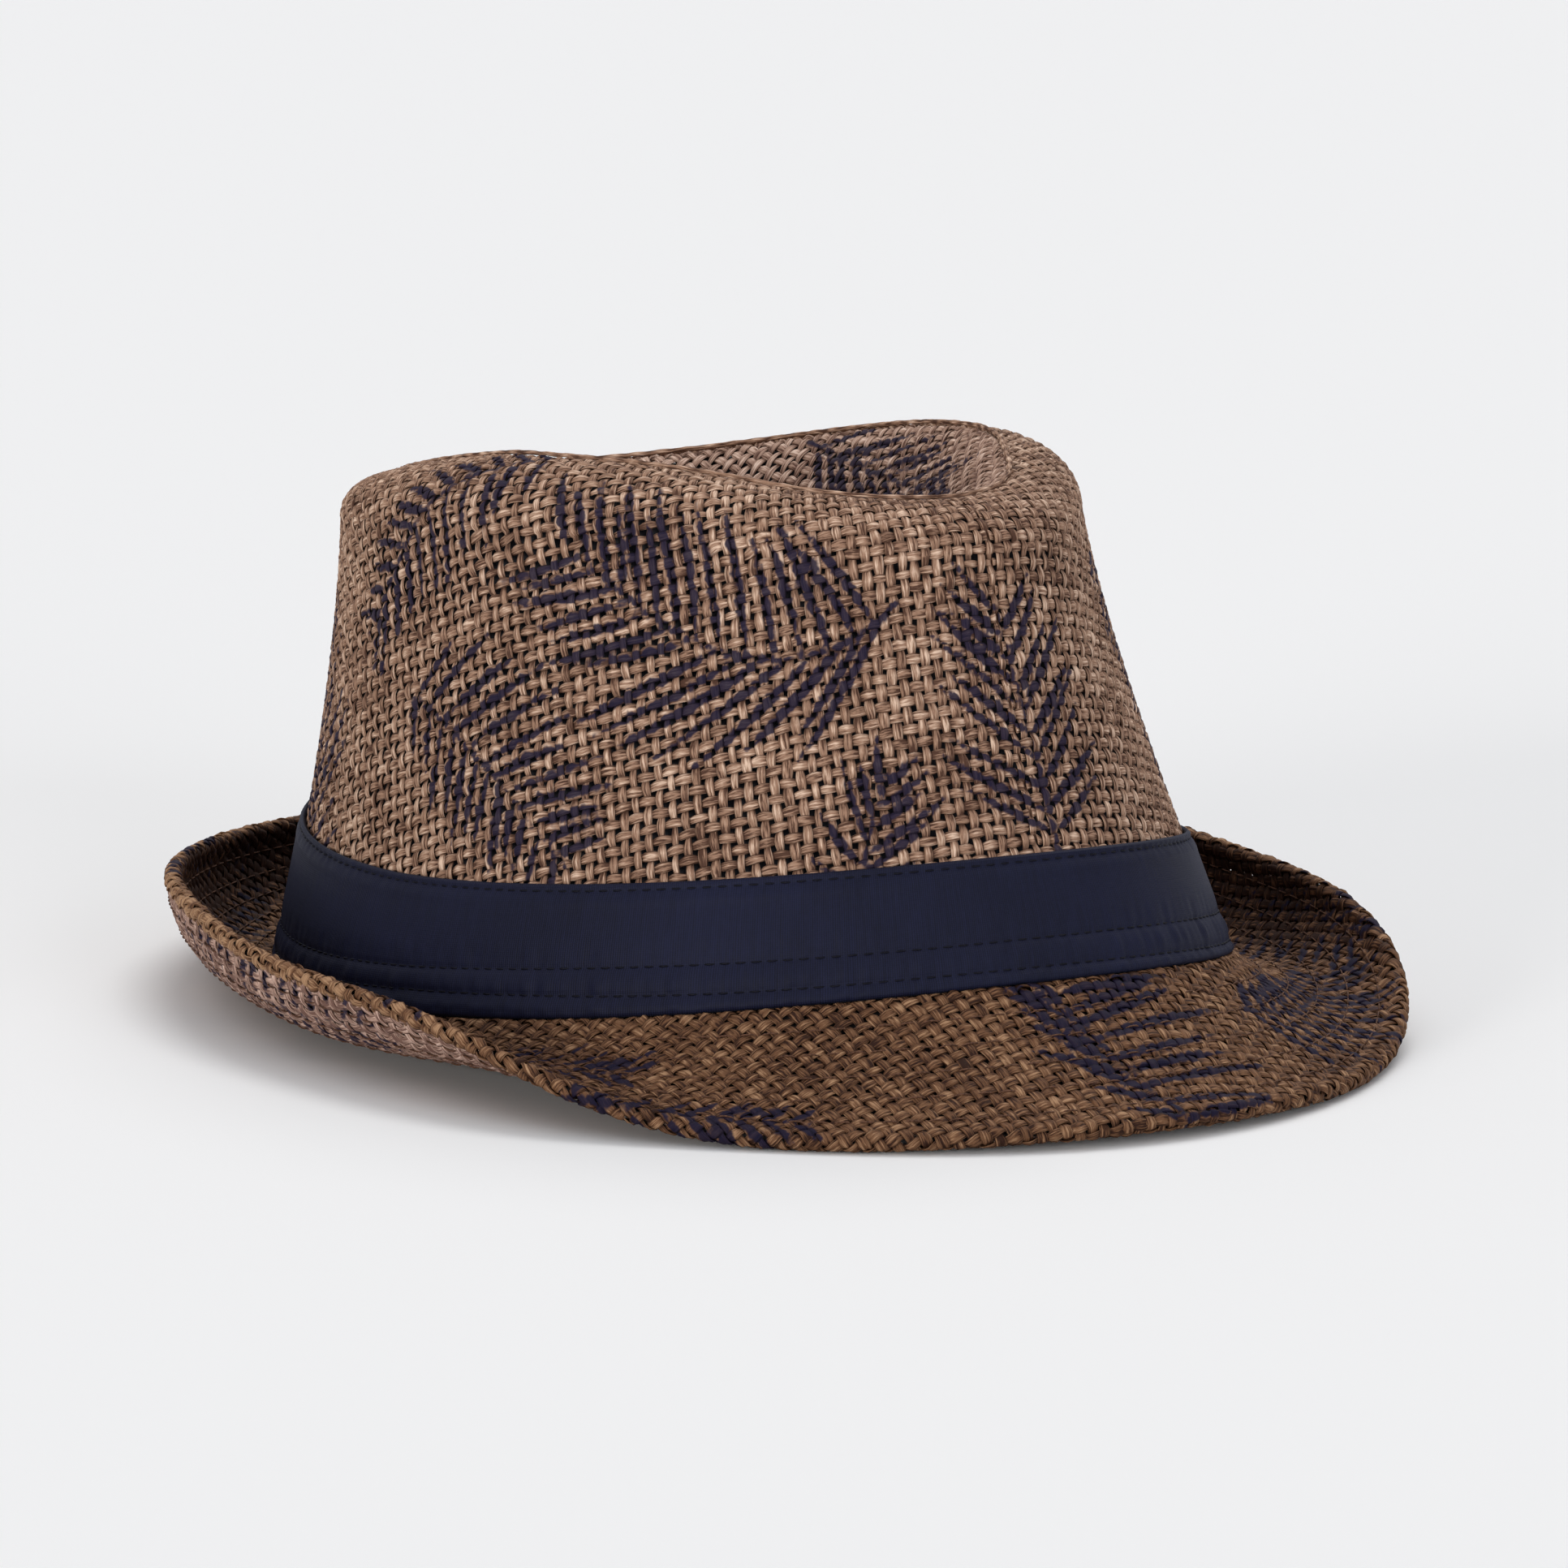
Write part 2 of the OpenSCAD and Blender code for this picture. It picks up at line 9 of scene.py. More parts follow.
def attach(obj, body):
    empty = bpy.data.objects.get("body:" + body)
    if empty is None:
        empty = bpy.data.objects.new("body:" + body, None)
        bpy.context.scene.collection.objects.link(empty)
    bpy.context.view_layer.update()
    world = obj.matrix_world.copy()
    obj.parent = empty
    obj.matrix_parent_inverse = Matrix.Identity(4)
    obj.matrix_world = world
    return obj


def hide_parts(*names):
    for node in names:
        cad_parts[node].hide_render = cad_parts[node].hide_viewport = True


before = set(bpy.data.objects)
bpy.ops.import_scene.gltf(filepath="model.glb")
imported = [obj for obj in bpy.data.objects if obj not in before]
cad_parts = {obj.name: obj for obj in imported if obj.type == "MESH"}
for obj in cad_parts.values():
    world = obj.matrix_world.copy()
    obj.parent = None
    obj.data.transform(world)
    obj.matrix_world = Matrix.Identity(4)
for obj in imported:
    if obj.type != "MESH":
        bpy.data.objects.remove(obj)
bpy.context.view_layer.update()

# ---- Camera: a long lens, low and to the front of the hat's right side, aimed at the middle of
# the oval where the brim meets the crown, with a slight roll of the horizon.
rest_tilt = math.radians(5.64396)
rest_x, rest_y, rest_lift = 2.1813, 7.19607, 12.1123
view_turn, view_height, view_roll = math.radians(33.95), math.radians(11.5), math.radians(1.49)
look = Vector((math.sin(view_turn) * math.cos(view_height),
               math.cos(view_turn) * math.cos(view_height), -math.sin(view_height)))
level = Vector((math.cos(view_turn), -math.sin(view_turn), 0))
rise = level.cross(look)
right = level * math.cos(view_roll) + rise * math.sin(view_roll)
above = rise * math.cos(view_roll) - level * math.sin(view_roll)
bpy.ops.object.camera_add()
camera = bpy.context.object
camera.name = "camera"
camera.data.sensor_width = 36
camera.data.lens = 164.3
camera.data.shift_x = 0.0204
camera.data.shift_y = 0.0981
camera.data.clip_start, camera.data.clip_end = 0.05, 50
turned = Matrix((right, above, -look)).transposed().to_4x4()
camera_away = 1.4
stand = Vector((rest_x, rest_y, rest_lift)) / 1000 - look * camera_away
camera.matrix_world = Matrix.Translation(stand) @ turned
bpy.context.scene.camera = camera
bpy.context.scene.view_settings.view_transform = "Standard"


# ---- Finishes: shader maths is written as plain sums on sockets, and every other node comes
# from one method, which takes the node's type, its settings and its sockets' values.
class Shade:
    """A socket of a material's nodes, or a plain number, that sums can be written with."""

    def __init__(self, tree, socket):
        self.tree, self.socket = tree, socket

    def node(self, kind, settings=(), **sockets):
        made = self.tree.nodes.new("ShaderNode" + kind)
        for name, value in dict(settings).items():
            setattr(made, name, value)
        for name, value in sockets.items():
            key = int(name[1:]) if name[0] == "_" else name.replace("_", " ")
            found = made.inputs[key]
            if isinstance(value, Shade):
                self.tree.links.new(value.socket, found)
            else:
                found.default_value = value
        return made

    def out(self, kind, output=0, settings=(), **sockets):
        return Shade(self.tree, self.node(kind, settings, **sockets).outputs[output])

    def maths(self, operation, *values):
        inputs = {f"_{k}": value for k, value in enumerate(values)}
        return self.out("Math", 0, {"operation": operation}, **inputs)

    def __add__(self, other):
        return self.maths("ADD", self, other)

    def __radd__(self, other):
        return self.maths("ADD", other, self)

    def __sub__(self, other):
        return self.maths("SUBTRACT", self, other)

    def __mul__(self, other):
        return self.maths("MULTIPLY", self, other)

    def __rmul__(self, other):
        return self.maths("MULTIPLY", other, self)

    def wave(self):
        return self.maths("SINE", self)

    def clamp(self):
        return self.out("Clamp", 0, (), Value=self)

    def step(self, low, high):
        return self.out("MapRange", 0, {"interpolation_type": "SMOOTHSTEP"}, Value=self,
                        From_Min=low, From_Max=high)

    def between(self, a, b):
        """The colour a where this is 0 and b where it is 1."""
        made = self.node("Mix", {"data_type": "RGBA"}, _0=self)
        for socket, value in ((made.inputs[6], a), (made.inputs[7], b)):
            if isinstance(value, Shade):
                self.tree.links.new(value.socket, socket)
            else:
                socket.default_value = (*value, 1)
        return Shade(self.tree, made.outputs[2])

    def noise(self, scale, detail=2.0, rough=0.5):
        return self.out("TexNoise", 0, (), Vector=self, Scale=scale, Detail=detail, Roughness=rough)

    def stretched(self, x, y, z):
        return self.out("Mapping", 0, (), Vector=self, Scale=(x, y, z))

    def parts(self):
        made = self.node("SeparateXYZ", (), Vector=self)
        return [Shade(self.tree, s) for s in made.outputs]

    def bump(self, height, strength, distance):
        return self.out("Bump", 0, (), Height=height, Strength=strength, Distance=distance)

    def seen(self):
        """1 for the rays that show a surface straight, in a mirror or through glass."""
        rays = self.node("LightPath")
        return sum(Shade(self.tree, rays.outputs[f"Is {kind} Ray"])
                   for kind in ("Camera", "Glossy", "Transmission"))


def finish(name, **fixed):
    """A new material with its shader's steady values, and a start for its sums."""
    made = bpy.data.materials.new(name)
    made.use_nodes = True
    shader = made.node_tree.nodes["Principled BSDF"]
    for key, value in fixed.items():
        shader.inputs[key.replace("_", " ")].default_value = value
    start = Shade(made.node_tree, None)

    def feed(**links):
        for key, value in links.items():
            made.node_tree.links.new(value.socket, shader.inputs[key.replace("_", " ")])
    start.feed = feed
    start.here = start.out("TexCoord", "Object")
    return made, start


# ---- Floor and light: a wide pale floor of paper, a low soft key from the left of the camera, a
# weaker one from the right, one from above and behind the hat, and a glow from overhead.
bpy.ops.object.select_all(action="DESELECT")
bpy.ops.mesh.primitive_plane_add(size=16)
floor = bpy.context.object
floor.name = "floor"
paper, s = finish("pale_paper", Roughness=0.9, Specular_IOR_Level=0.1)
s.feed(Base_Color=s.seen().clamp().between((0.70, 0.70, 0.70), (0.97, 0.97, 0.97)))
floor.data.materials.append(paper)

world = bpy.data.worlds.new("studio")
bpy.context.scene.world = world
world.use_nodes = True
glow = Shade(world.node_tree, None)
backdrop = world.node_tree.nodes["Background"].inputs
backdrop["Color"].default_value = (0.955, 0.965, 1.0, 1)
overhead = glow.out("TexCoord", "Generated").parts()[2].step(0.15, 1.0)
strength = 0.01 + 0.77 * overhead + 0.40 * glow.seen()
world.node_tree.links.new(strength.socket, backdrop["Strength"])

for name, turn, height, strength, spread, tint in (
        ("key", -38, 5, 2.2, 28, (1.0, 0.98, 0.95)),
        ("top", 165, 58, 1.05, 38, (1.0, 0.99, 0.97)),
        ("fill", 36, 10, 1.1, 40, (0.95, 0.97, 1.0))):
    bpy.ops.object.light_add(type="SUN", location=(0, 0, 1))
    lamp = bpy.context.object
    lamp.name = name + "_light"
    a, e = math.radians(turn) - view_turn, math.radians(height)
    lamp.rotation_mode = "QUATERNION"
    lamp.rotation_quaternion = Vector((math.sin(a) * math.cos(e), -math.cos(a) * math.cos(e),
                                       math.sin(e))).to_track_quat("Z", "Y")
    lamp.data.energy = strength
    lamp.data.angle = math.radians(spread)
    lamp.data.color = tint


# ---- Crown side: one panel of plain-woven paper straw, cut as a shallow cone, wrapped round the
# head from the middle of the back and blocked over a wooden form with a pinch at the front.
# Angles called t run round the hat from the front; v runs up the wall, over the shoulder and on.
crown_len, crown_wid, egg, headline_dip = 210.0, 175.0, 0.03, 6.7
crown_height = 99       # from the headline's middle to the crest at the sides
shoulder_rise = 0.8     # the shoulder's height as a share of its width
pinch_depth, pinch_turn, pinch_spread = 5.2, 46, 26
up = np.array([0, 0, 1.0])


def round_from_front(t):
    return np.degrees(np.arccos(np.clip(np.cos(t), -1, 1)))


def fade(a, middle, width):
    return 1 / (1 + np.exp((a - middle) / width))


def ease(u):
    return (1 - np.cos(np.pi * np.clip(u, 0, 1))) / 2


def mix(a, b, u):
    return a + (b - a) * u


def xyz(x, y, z):
    return np.stack(np.broadcast_arrays(x, y, z), -1)


def unit(v):
    return v / np.maximum(np.linalg.norm(v, axis=-1, keepdims=True), 1e-12)


def blend(t, front, side, back, power):
    c = np.cos(t)
    return (side + (front - side) * np.maximum(c, 0) ** power
            + (back - side) * np.maximum(-c, 0) ** power)


def oval(t):
    return xyz(crown_wid / 2 * np.sin(t) * (1 - egg * np.cos(t)), -crown_len / 2 * np.cos(t), 0 * t)


def outward(t):
    return unit(xyz(crown_len / 2 * np.sin(t), -crown_wid / 2 * (np.cos(t) - egg * np.cos(2 * t)), 0 * t))


def headline_z(t):
    return -headline_dip * np.sin(t) ** 2


def crest_z(t):
    """The crest falls 10 to the front and 8 to the back, and is 2 higher on the left side."""
    a = round_from_front(t)
    return crown_height + np.sin(t) - 10.8 * fade(a, 46, 14) - 8 * ease((a - 84) / 96)


def shoulder_w(t):
    """The shoulder is 17 wide at the sides, 13 in front and 9.5 at the back."""
    a = round_from_front(t)
    return 17 - 4 * fade(a, 50, 9) - 7.5 * ease((a - 90) / 90)


def wall_top(t):
    return crest_z(t) - shoulder_rise * shoulder_w(t)


def wall_inset(t, v):
    """How far the wall has come in at v, with the pinch on both sides of the front."""
    pinch = pinch_depth * np.exp(-((round_from_front(t) - pinch_turn) / pinch_spread) ** 2)
    leaned = blend(t, 20, 21.5, 10.5, 1.5) * (1 - (1 - np.minimum(v, 1)) ** 1.4)
    return pinch * np.maximum(v, 0) ** 1.6 + leaned


def wall_at(t, h, d):
    """The point of the wall h above the headline, moved inwards by d."""
    t, h, d = np.broadcast_arrays(t, h, d)
    v = h / (wall_top(t) - headline_z(t))
    return (oval(t) - outward(t) * (wall_inset(t, np.clip(v, 0, 1)) + d)[..., None]
            + up * (headline_z(t) + h)[..., None])


def wall_pt(t, v):
    return wall_at(t, 1.65 * (1 - v) + (wall_top(t) - headline_z(t)) * v, 0 * t)


def shoulder_pt(t, u):
    w, a = shoulder_w(t), u * np.pi / 2
    return (wall_pt(t, 1 + 0 * t) - outward(t) * (w * (1 - np.cos(a)))[..., None]
            + up * (shoulder_rise * w * np.sin(a))[..., None])


tip_middle = np.array([0, 8.0, 81.0])


def slope_pt(t, u):
    top = shoulder_pt(t, 1 + 0 * t)
    inward = tip_middle - top
    inward[..., 2] = 0
    back_drop, less_in_front = 22, 12
    drop = back_drop - less_in_front * fade(round_from_front(t), 40, 10)
    return (top + unit(inward) * (blend(t, 34, 20, 26, 1.5) * u)[..., None]
            - up * (drop * (0.55 * u + 0.45 * ease(u)))[..., None])


def floor_pt(t, u):
    a = slope_pt(t, 1 + 0 * t)
    xy = mix(a, tip_middle, u[..., None])
    return xyz(xy[..., 0], xy[..., 1], mix(a[..., 2], tip_middle[2], ease(u)))


lower_left, lower_right = 1.7, 1.5      # the most that the crest lies under the solid's
top_shift = np.array([-0.3, 0.2, 0])    # how far the top is moved sideways against the solid's


def crown_pt(t, v):
    """A point of the crown: the wall to v = 1, the shoulder to 2, the crease's slope and floor."""
    t, v = np.broadcast_arrays(t, v)
    p = wall_pt(t, np.clip(v, 0, 1))
    for k, piece in ((1, shoulder_pt), (2, slope_pt), (3, floor_pt)):
        p = np.where((v > k)[..., None], piece(t, np.clip(v - k, 0, 1)), p)
    lower = (lower_left * np.maximum(np.sin(t - 0.7), 0) ** 1.5
             + lower_right * np.maximum(np.sin(2 * t), 0) * (np.sin(t) < 0))
    lower = lower * (ease(v - 1) - ease((v - 2) / 1.2))
    return p - up * lower[..., None] + top_shift * ease(v)[..., None]


def at_rest(p):
    """From the upright hat, in millimetres, to its place at rest on the floor, in metres."""
    c, s = math.cos(rest_tilt), math.sin(rest_tilt)
    return xyz(p[..., 0] + rest_x, p[..., 1] * c + p[..., 2] * s + rest_y,
               p[..., 2] * c - p[..., 1] * s + rest_lift) / 1000


def look_up(table, i, j):
    """The value between the four nearest entries of a table."""
    a = np.clip(np.floor(i).astype(int), 0, table.shape[0] - 2)
    b = np.clip(np.floor(j).astype(int), 0, table.shape[1] - 2)
    i, j = i - a, j - b
    return ((table[a, b] * (1 - i) + table[a + 1, b] * i) * (1 - j)
            + (table[a, b + 1] * (1 - i) + table[a + 1, b + 1] * i) * j)


def run_of(points, axis):
    """How far along each point lies, in millimetres."""
    size = np.linalg.norm(np.diff(points, axis=axis), axis=-1)
    return np.concatenate([np.zeros_like(np.take(size, [0], axis)), np.cumsum(size, axis)], axis)


turns = np.linspace(-np.pi, np.pi, 721)
side_v = np.linspace(0, 2, 81)
side_grid = crown_pt(turns[:, None], side_v[None, :])
side_run = run_of(side_grid[:, 0], 0)
side_run -= np.interp(0, turns, side_run)
side_rise = run_of(side_grid, 1)
side_full = side_rise[:, -1]
shares = np.linspace(0, 1, 61)
last_turn, last_share = len(turns) - 1, len(shares) - 1
side_share = np.array([np.interp(shares * r[-1], r, side_v) for r in side_rise])
cone = 481.0        # from the foot of the cloth to the point of its cone, on the flat
fold = 0.9          # radius of the turn where the two cloths go down into a seam
turn_in = 2.6       # how far the cloth's cut edge lies past the start of that turn
band_cover = 14.0   # the cloth starts this high, since the hatband hides what is below


def turned_in(at, over, inward, top):
    """Where a cloth rolls over into a seam: at is the point where the turn starts."""
    a = np.clip(over / fold, 0, np.pi / 2)
    down = fold * (1 - np.cos(a)) + np.maximum(over - fold * np.pi / 2, 0)
    return at + inward * (fold * np.sin(a))[..., None] - top * down[..., None]


def side_cloth(x, y):
    """A point of the flat cloth, laid on the block, and how far inside the cut edge it is."""
    reach, turn = np.hypot(x, cone - y), np.arctan2(x, cone - y)
    run, rise = turn * cone, cone - reach
    end = side_run[-1] - fold
    t = np.interp(np.clip(run, -end, end), side_run, turns)
    full = np.interp(t, turns, side_full) - fold
    held = np.clip(rise, 0, full)
    i = (t + np.pi) / (2 * np.pi) * last_turn
    v = look_up(side_share, i, held / (full + fold) * last_share)
    p = crown_pt(t, v)
    over_v, over_t = rise - full, np.abs(run) - end
    near = (over_v > 0) | (over_t > 0)
    if near.any():
        q, w, e = t[near], v[near], 1e-4
        along = unit(crown_pt(q, w) - crown_pt(q, w - e))
        round_it = unit(crown_pt(q + e, w) - crown_pt(q, w))
        top = unit(np.cross(round_it, along))
        p[near] = turned_in(p[near], np.maximum(over_v[near], 0), along, top)
        p[near] = turned_in(p[near], np.maximum(over_t[near], 0),
                            round_it * np.sign(run[near])[:, None], top)
    inside = np.minimum(np.minimum(rise - band_cover, full + turn_in - rise), end + turn_in - np.abs(run))
    return p, inside


def smooth_noise(rng, rows, u, lengths, size):
    """A slow wander for each strand, of about the given wavelengths in millimetres."""
    total = 0
    for length in lengths:
        total = total + np.sin(2 * np.pi * u / (length * rng.uniform(0.8, 1.25, (rows, 1)))
                               + rng.uniform(0, 2 * np.pi, (rows, 1)))
    return total * size / len(lengths)


straw_pitch = 2.6   # from one straw to the next, both ways
straw_steps = 3     # points of a straw from one crossing to the next
section = ((-0.5, 0.0), (-0.27, 0.92), (0.27, 0.92), (0.5, 0.0), (0.27, -0.92), (-0.27, -0.92))


def cut_to_cloth(inside, u, gap):
    """Ends each straw on the cloth's edge: the moved points, and which pairs of them join."""
    live = inside > 0
    right_end = np.zeros_like(live)
    right_end[:, 1:] = live[:, :-1] & ~live[:, 1:]
    left_end = np.zeros_like(live)
    left_end[:, :-1] = live[:, 1:] & ~live[:, :-1]
    left_end &= ~right_end
    before, after = np.roll(inside, 1, 1), np.roll(inside, -1, 1)
    u = np.where(right_end, u - gap + gap * before / np.maximum(before - inside, 1e-6), u)
    u = np.where(left_end, u + gap - gap * after / np.maximum(after - inside, 1e-6), u)
    used = live | right_end | left_end
    joined = (used[:, :-1] & used[:, 1:] & ~right_end[:, :-1] & ~left_end[:, 1:]
              & (live[:, :-1] | live[:, 1:]))
    return u, joined


def straw_mesh(name, points, a, b, u, shift, along_shift, width, marks):
    """Closed tubes through rings of points, from each ring of a to the same place in b."""
    n = len(section)
    m = np.arange(n)
    after = (m + 1) % n
    a_ring, b_ring = a[:, None] * n, b[:, None] * n
    quads = np.stack([a_ring + m, b_ring + m, b_ring + after, a_ring + after], -1).reshape(-1, 4)
    first = np.zeros(len(u), bool)
    first[a] = True
    second = np.zeros(len(u), bool)
    second[b] = True
    start, end = np.nonzero(first & ~second)[0], np.nonzero(second & ~first)[0]
    caps = np.concatenate([start[:, None] * n + m, (end[:, None] * n + m)[:, ::-1]])
    corners = np.concatenate([quads.ravel(), caps.ravel()])
    sizes = np.concatenate([np.full(len(quads), 4), np.full(len(caps), n)])
    side_width = width * 2.1 / n
    round_it = np.stack([m, m, m + 1, m + 1], -1)[None] * side_width + shift[a][:, None, None]
    lengthways = (u + along_shift)[np.stack([a, b, b, a], -1)][:, None, :].repeat(n, 1)
    flat_caps = np.zeros(caps.size)
    mesh = bpy.data.meshes.new(name)
    mesh.vertices.add(len(points))
    mesh.vertices.foreach_set("co", points.ravel())
    mesh.loops.add(len(corners))
    mesh.loops.foreach_set("vertex_index", corners)
    mesh.polygons.add(len(sizes))
    mesh.polygons.foreach_set("loop_start", np.concatenate([[0], np.cumsum(sizes)[:-1]]))
    mesh.polygons.foreach_set("use_smooth", np.ones(len(sizes), bool))
    mesh.update(calc_edges=True)
    mesh.validate()
    uv = np.stack([np.concatenate([round_it.reshape(-1), flat_caps]),
                   np.concatenate([lengthways.reshape(-1), flat_caps])], -1)
    mesh.uv_layers.new(name="straw").data.foreach_set("uv", uv.ravel())
    for label, values in marks.items():
        made = mesh.attributes.new(label, "FLOAT", "POINT")
        made.data.foreach_set("value", values.astype(np.float32))
    piece = bpy.data.objects.new(name, mesh)
    bpy.context.collection.objects.link(piece)
    near = points[quads[:, 0]]
    outside = np.cross(points[quads[:, 1]] - near, points[quads[:, 3]] - near)
    middle_of = points.reshape(-1, n, 3).mean(1).repeat(n, 0)
    if ((near - middle_of[quads[:, 0]]) * outside).sum() < 0:
        mesh.flip_normals()
    return piece


def strands(name, cloth, along, span, lines, seed, width, half, lift, sink, ink,
            keep=None, shade=None):
    """Weaves one set of straws: tubes with a flat section that go over and under by turns."""
    rng = np.random.default_rng(seed)
    number = np.arange(lines[0], lines[1] + 1)
    k = np.arange(int(span[0] / straw_pitch * straw_steps),
                  int(span[1] / straw_pitch * straw_steps) + 1)
    rows, count = len(number), len(k)
    gap = straw_pitch / straw_steps
    travel = k[None, :] * gap
    u = np.repeat(k[None, :] * straw_pitch / straw_steps, rows, 0).astype(float)
    c = (number[:, None] * straw_pitch + smooth_noise(rng, rows, u, (9, 21), 0.2)
         + rng.normal(0, 0.06, (rows, 1)))

    def flat(u, c):
        return (u, c) if along == "x" else (c, u)

    inside = cloth(*flat(u, c))[1]
    if keep:
        inside = np.minimum(inside, keep(*flat(u, c)))
    u, joined = cut_to_cloth(inside, u, gap)
    used = np.zeros_like(inside, bool)
    used[:, :-1] |= joined
    used[:, 1:] |= joined
    row, col = np.nonzero(used)
    u, c = u[row, col], c[row, col]

    step = 0.02
    hand = 1 if along == "x" else -1
    p = cloth(*flat(u, c))[0]
    ahead = unit(cloth(*flat(u + step, c))[0] - p)
    across = cloth(*flat(u, c + step))[0] - p
    top = unit(np.cross(ahead, across) * hand)
    side = unit(np.cross(top, ahead)) * hand
    wave = np.cos(np.pi * u / straw_pitch) * (1 - 2 * (number[row] % 2)) * hand
    float_tone = rng.normal(0, 1, (rows, count // straw_steps + 3))[row, (col + 1) // straw_steps]
    w = width * (1 + 0.15 * wave + rng.normal(0, 0.07, (rows, 1))[row, 0]
                 + smooth_noise(rng, rows, travel, (6, 17), 0.10)[row, col])
    roll = smooth_noise(rng, rows, travel, (7, 13), 0.16)[row, col]
    height = lift * np.sign(wave) * np.abs(wave) ** 0.8 + rng.normal(0, 0.02, len(u)) - sink
    middle = p + top * height[:, None]
    points, flat_u, flat_c = [], [], []
    for a, b in section:
        over = a * w
        points.append(middle + side * over[:, None] + top * (b * half + roll * over)[:, None])
        flat_u.append(u)
        flat_c.append(c + over)
    points = at_rest(np.stack(points, 1)).reshape(-1, 3)
    mark = ink(*flat(np.stack(flat_u, 1).ravel(), np.stack(flat_c, 1).ravel()))
    tone = 0.5 + 0.07 * rng.normal(0, 1, (rows, 1))[row, 0] + 0.06 * float_tone
    # Painted shade: each straw's tone is lowered where it dips under its neighbours, and raised a little
    # on top of its floats.
    tone = tone + 0.22 * (wave - 0.6)
    # The painted shade and highlights that the caller gives are added to the straws' tone here.
    if shade:
        tone = tone + shade(*flat(u, c))
    index = np.full((rows, count), -1)
    index[row, col] = np.arange(len(row))
    shift, along_shift = rng.uniform(0, 90, rows)[row], rng.uniform(0, 300, rows)[row]
    piece = straw_mesh(name, points, index[:, :-1][joined], index[:, 1:][joined], u, shift,
                       along_shift, width, {"ink": mark, "tone": np.repeat(tone, len(section))})
    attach(piece, "root")
    return piece


def frond(x, y, turn, bend, length, left, right, seed, wide=1.9, gap=4.9):
    """A palm frond on the flat cloth, from its foot: a bent stem with long thin leaflets. left
    and right are the leaflets' reach, and their lean from the stem at its foot and at its tip."""
    rng = np.random.default_rng(seed)
    blades = []
    parts = 29
    places = np.linspace(0, 1, parts + 1)
    heading = np.radians(turn + bend * (1 - (1 - places) ** 2))
    stem = np.cumsum(np.stack([np.cos(heading), np.sin(heading)], 1) * length / parts, 0) + (x, y)
    for k in range(parts):
        stem_r = 0.5 - 0.25 * places[k]
        blades.append((stem[k], stem[k + 1], stem_r, stem_r))
    for hand, (reach, foot_lean, tip_lean) in ((1, left), (-1, right)):
        at = rng.uniform(0.02, 0.08)
        while at < 0.98:
            root = np.array([np.interp(at, places, stem[:, 0]), np.interp(at, places, stem[:, 1])])
            size = reach * math.sin(math.pi * min(1, 0.28 + 0.60 * at)) ** 0.7 * rng.uniform(0.75, 1.15)
            lean = mix(foot_lean, tip_lean, at) + 8 + rng.uniform(-5, 5)
            lean = np.interp(at, places, heading) + hand * math.radians(lean)
            knots = [root]
            for part in range(4):
                lean -= hand * math.radians(rng.uniform(0, 4))
                knots.append(knots[-1] + np.array([math.cos(lean), math.sin(lean)]) * size / 4)
            thick = wide / 2 * rng.uniform(0.8, 1.15)
            for part, (thin, full) in enumerate(((0.35, 0.9), (0.9, 1.0), (1.0, 0.75), (0.75, 0.15))):
                blades.append((knots[part], knots[part + 1], thick * thin, thick * full))
            at += gap / length * rng.uniform(0.8, 1.25)
    return blades


no_ink, ink_reach = -9.0, 2.5


def printed(fronds):
    """How far inside the print's edge a point of the cloth is, in millimetres."""
    blades = [b for f in fronds for b in f]

    def ink(x, y):
        best = np.full(len(x), no_ink)
        for a, b, r0, r1 in blades:
            low, high = np.minimum(a, b) - ink_reach, np.maximum(a, b) + ink_reach
            near = np.nonzero((x > low[0]) & (x < high[0]) & (y > low[1]) & (y < high[1]))[0]
            if not len(near):
                continue
            d = b - a
            px, py = x[near] - a[0], y[near] - a[1]
            u = np.clip((px * d[0] + py * d[1]) / (d @ d), 0, 1)
            far = r0 + (r1 - r0) * u - np.hypot(px - u * d[0], py - u * d[1])
            best[near] = np.maximum(best[near], far)
        return best
    return ink


def straw_finish(name, light, mid, dark, ink_dark=(0.005, 0.004, 0.015),
                 ink_light=(0.020, 0.017, 0.048)):
    """Paper straw: long fibres, each straw of its own tone with painted shade and highlights added to it,
    navy ink on the raised faces.
    """
    made, s = finish(name, Roughness=0.62, Specular_IOR_Level=0.10)
    along = s.out("UVMap", 0, {"uv_map": "straw"})
    # tone holds each straw's own tone together with the painted shade and highlights that strands adds to
    # it.
    tone = s.out("Attribute", "Fac", {"attribute_name": "tone"})
    ink = s.out("Attribute", "Fac", {"attribute_name": "ink"})
    fibre = along.stretched(3.8, 0.24, 1).noise(1.0, 3.0, 0.6)
    crease = along.stretched(1.6, 0.16, 1).noise(1.0, 1.0, 0.4)
    patch = s.here.noise(70.0, 2.0)
    value = tone + (fibre - 0.5) * 2.8 + (crease - 0.5) * 1.0 + (patch - 0.5) * 0.5
    straw = value.step(0.05, 0.55).between(dark, mid)
    straw = value.step(0.5, 1.15).between(straw, light)
    blot = s.here.noise(420.0, 2.0)
    ragged = ink + (blot - 0.5) * 1.4 + (fibre - 0.5) + (tone - 0.42) * 1.6
    mask = ragged.step(-0.25, 0.25) * 0.95
    navy = fibre.between(ink_dark, ink_light)
    s.feed(Base_Color=mask.between(straw, navy), Roughness=0.56 + 0.2 * fibre,
           Normal=s.bump(fibre * 0.7 + crease, 0.75, 0.00028))
    return made


straw = straw_finish("printed_straw", (0.76, 0.55, 0.415), (0.335, 0.196, 0.130), (0.080, 0.038, 0.025))

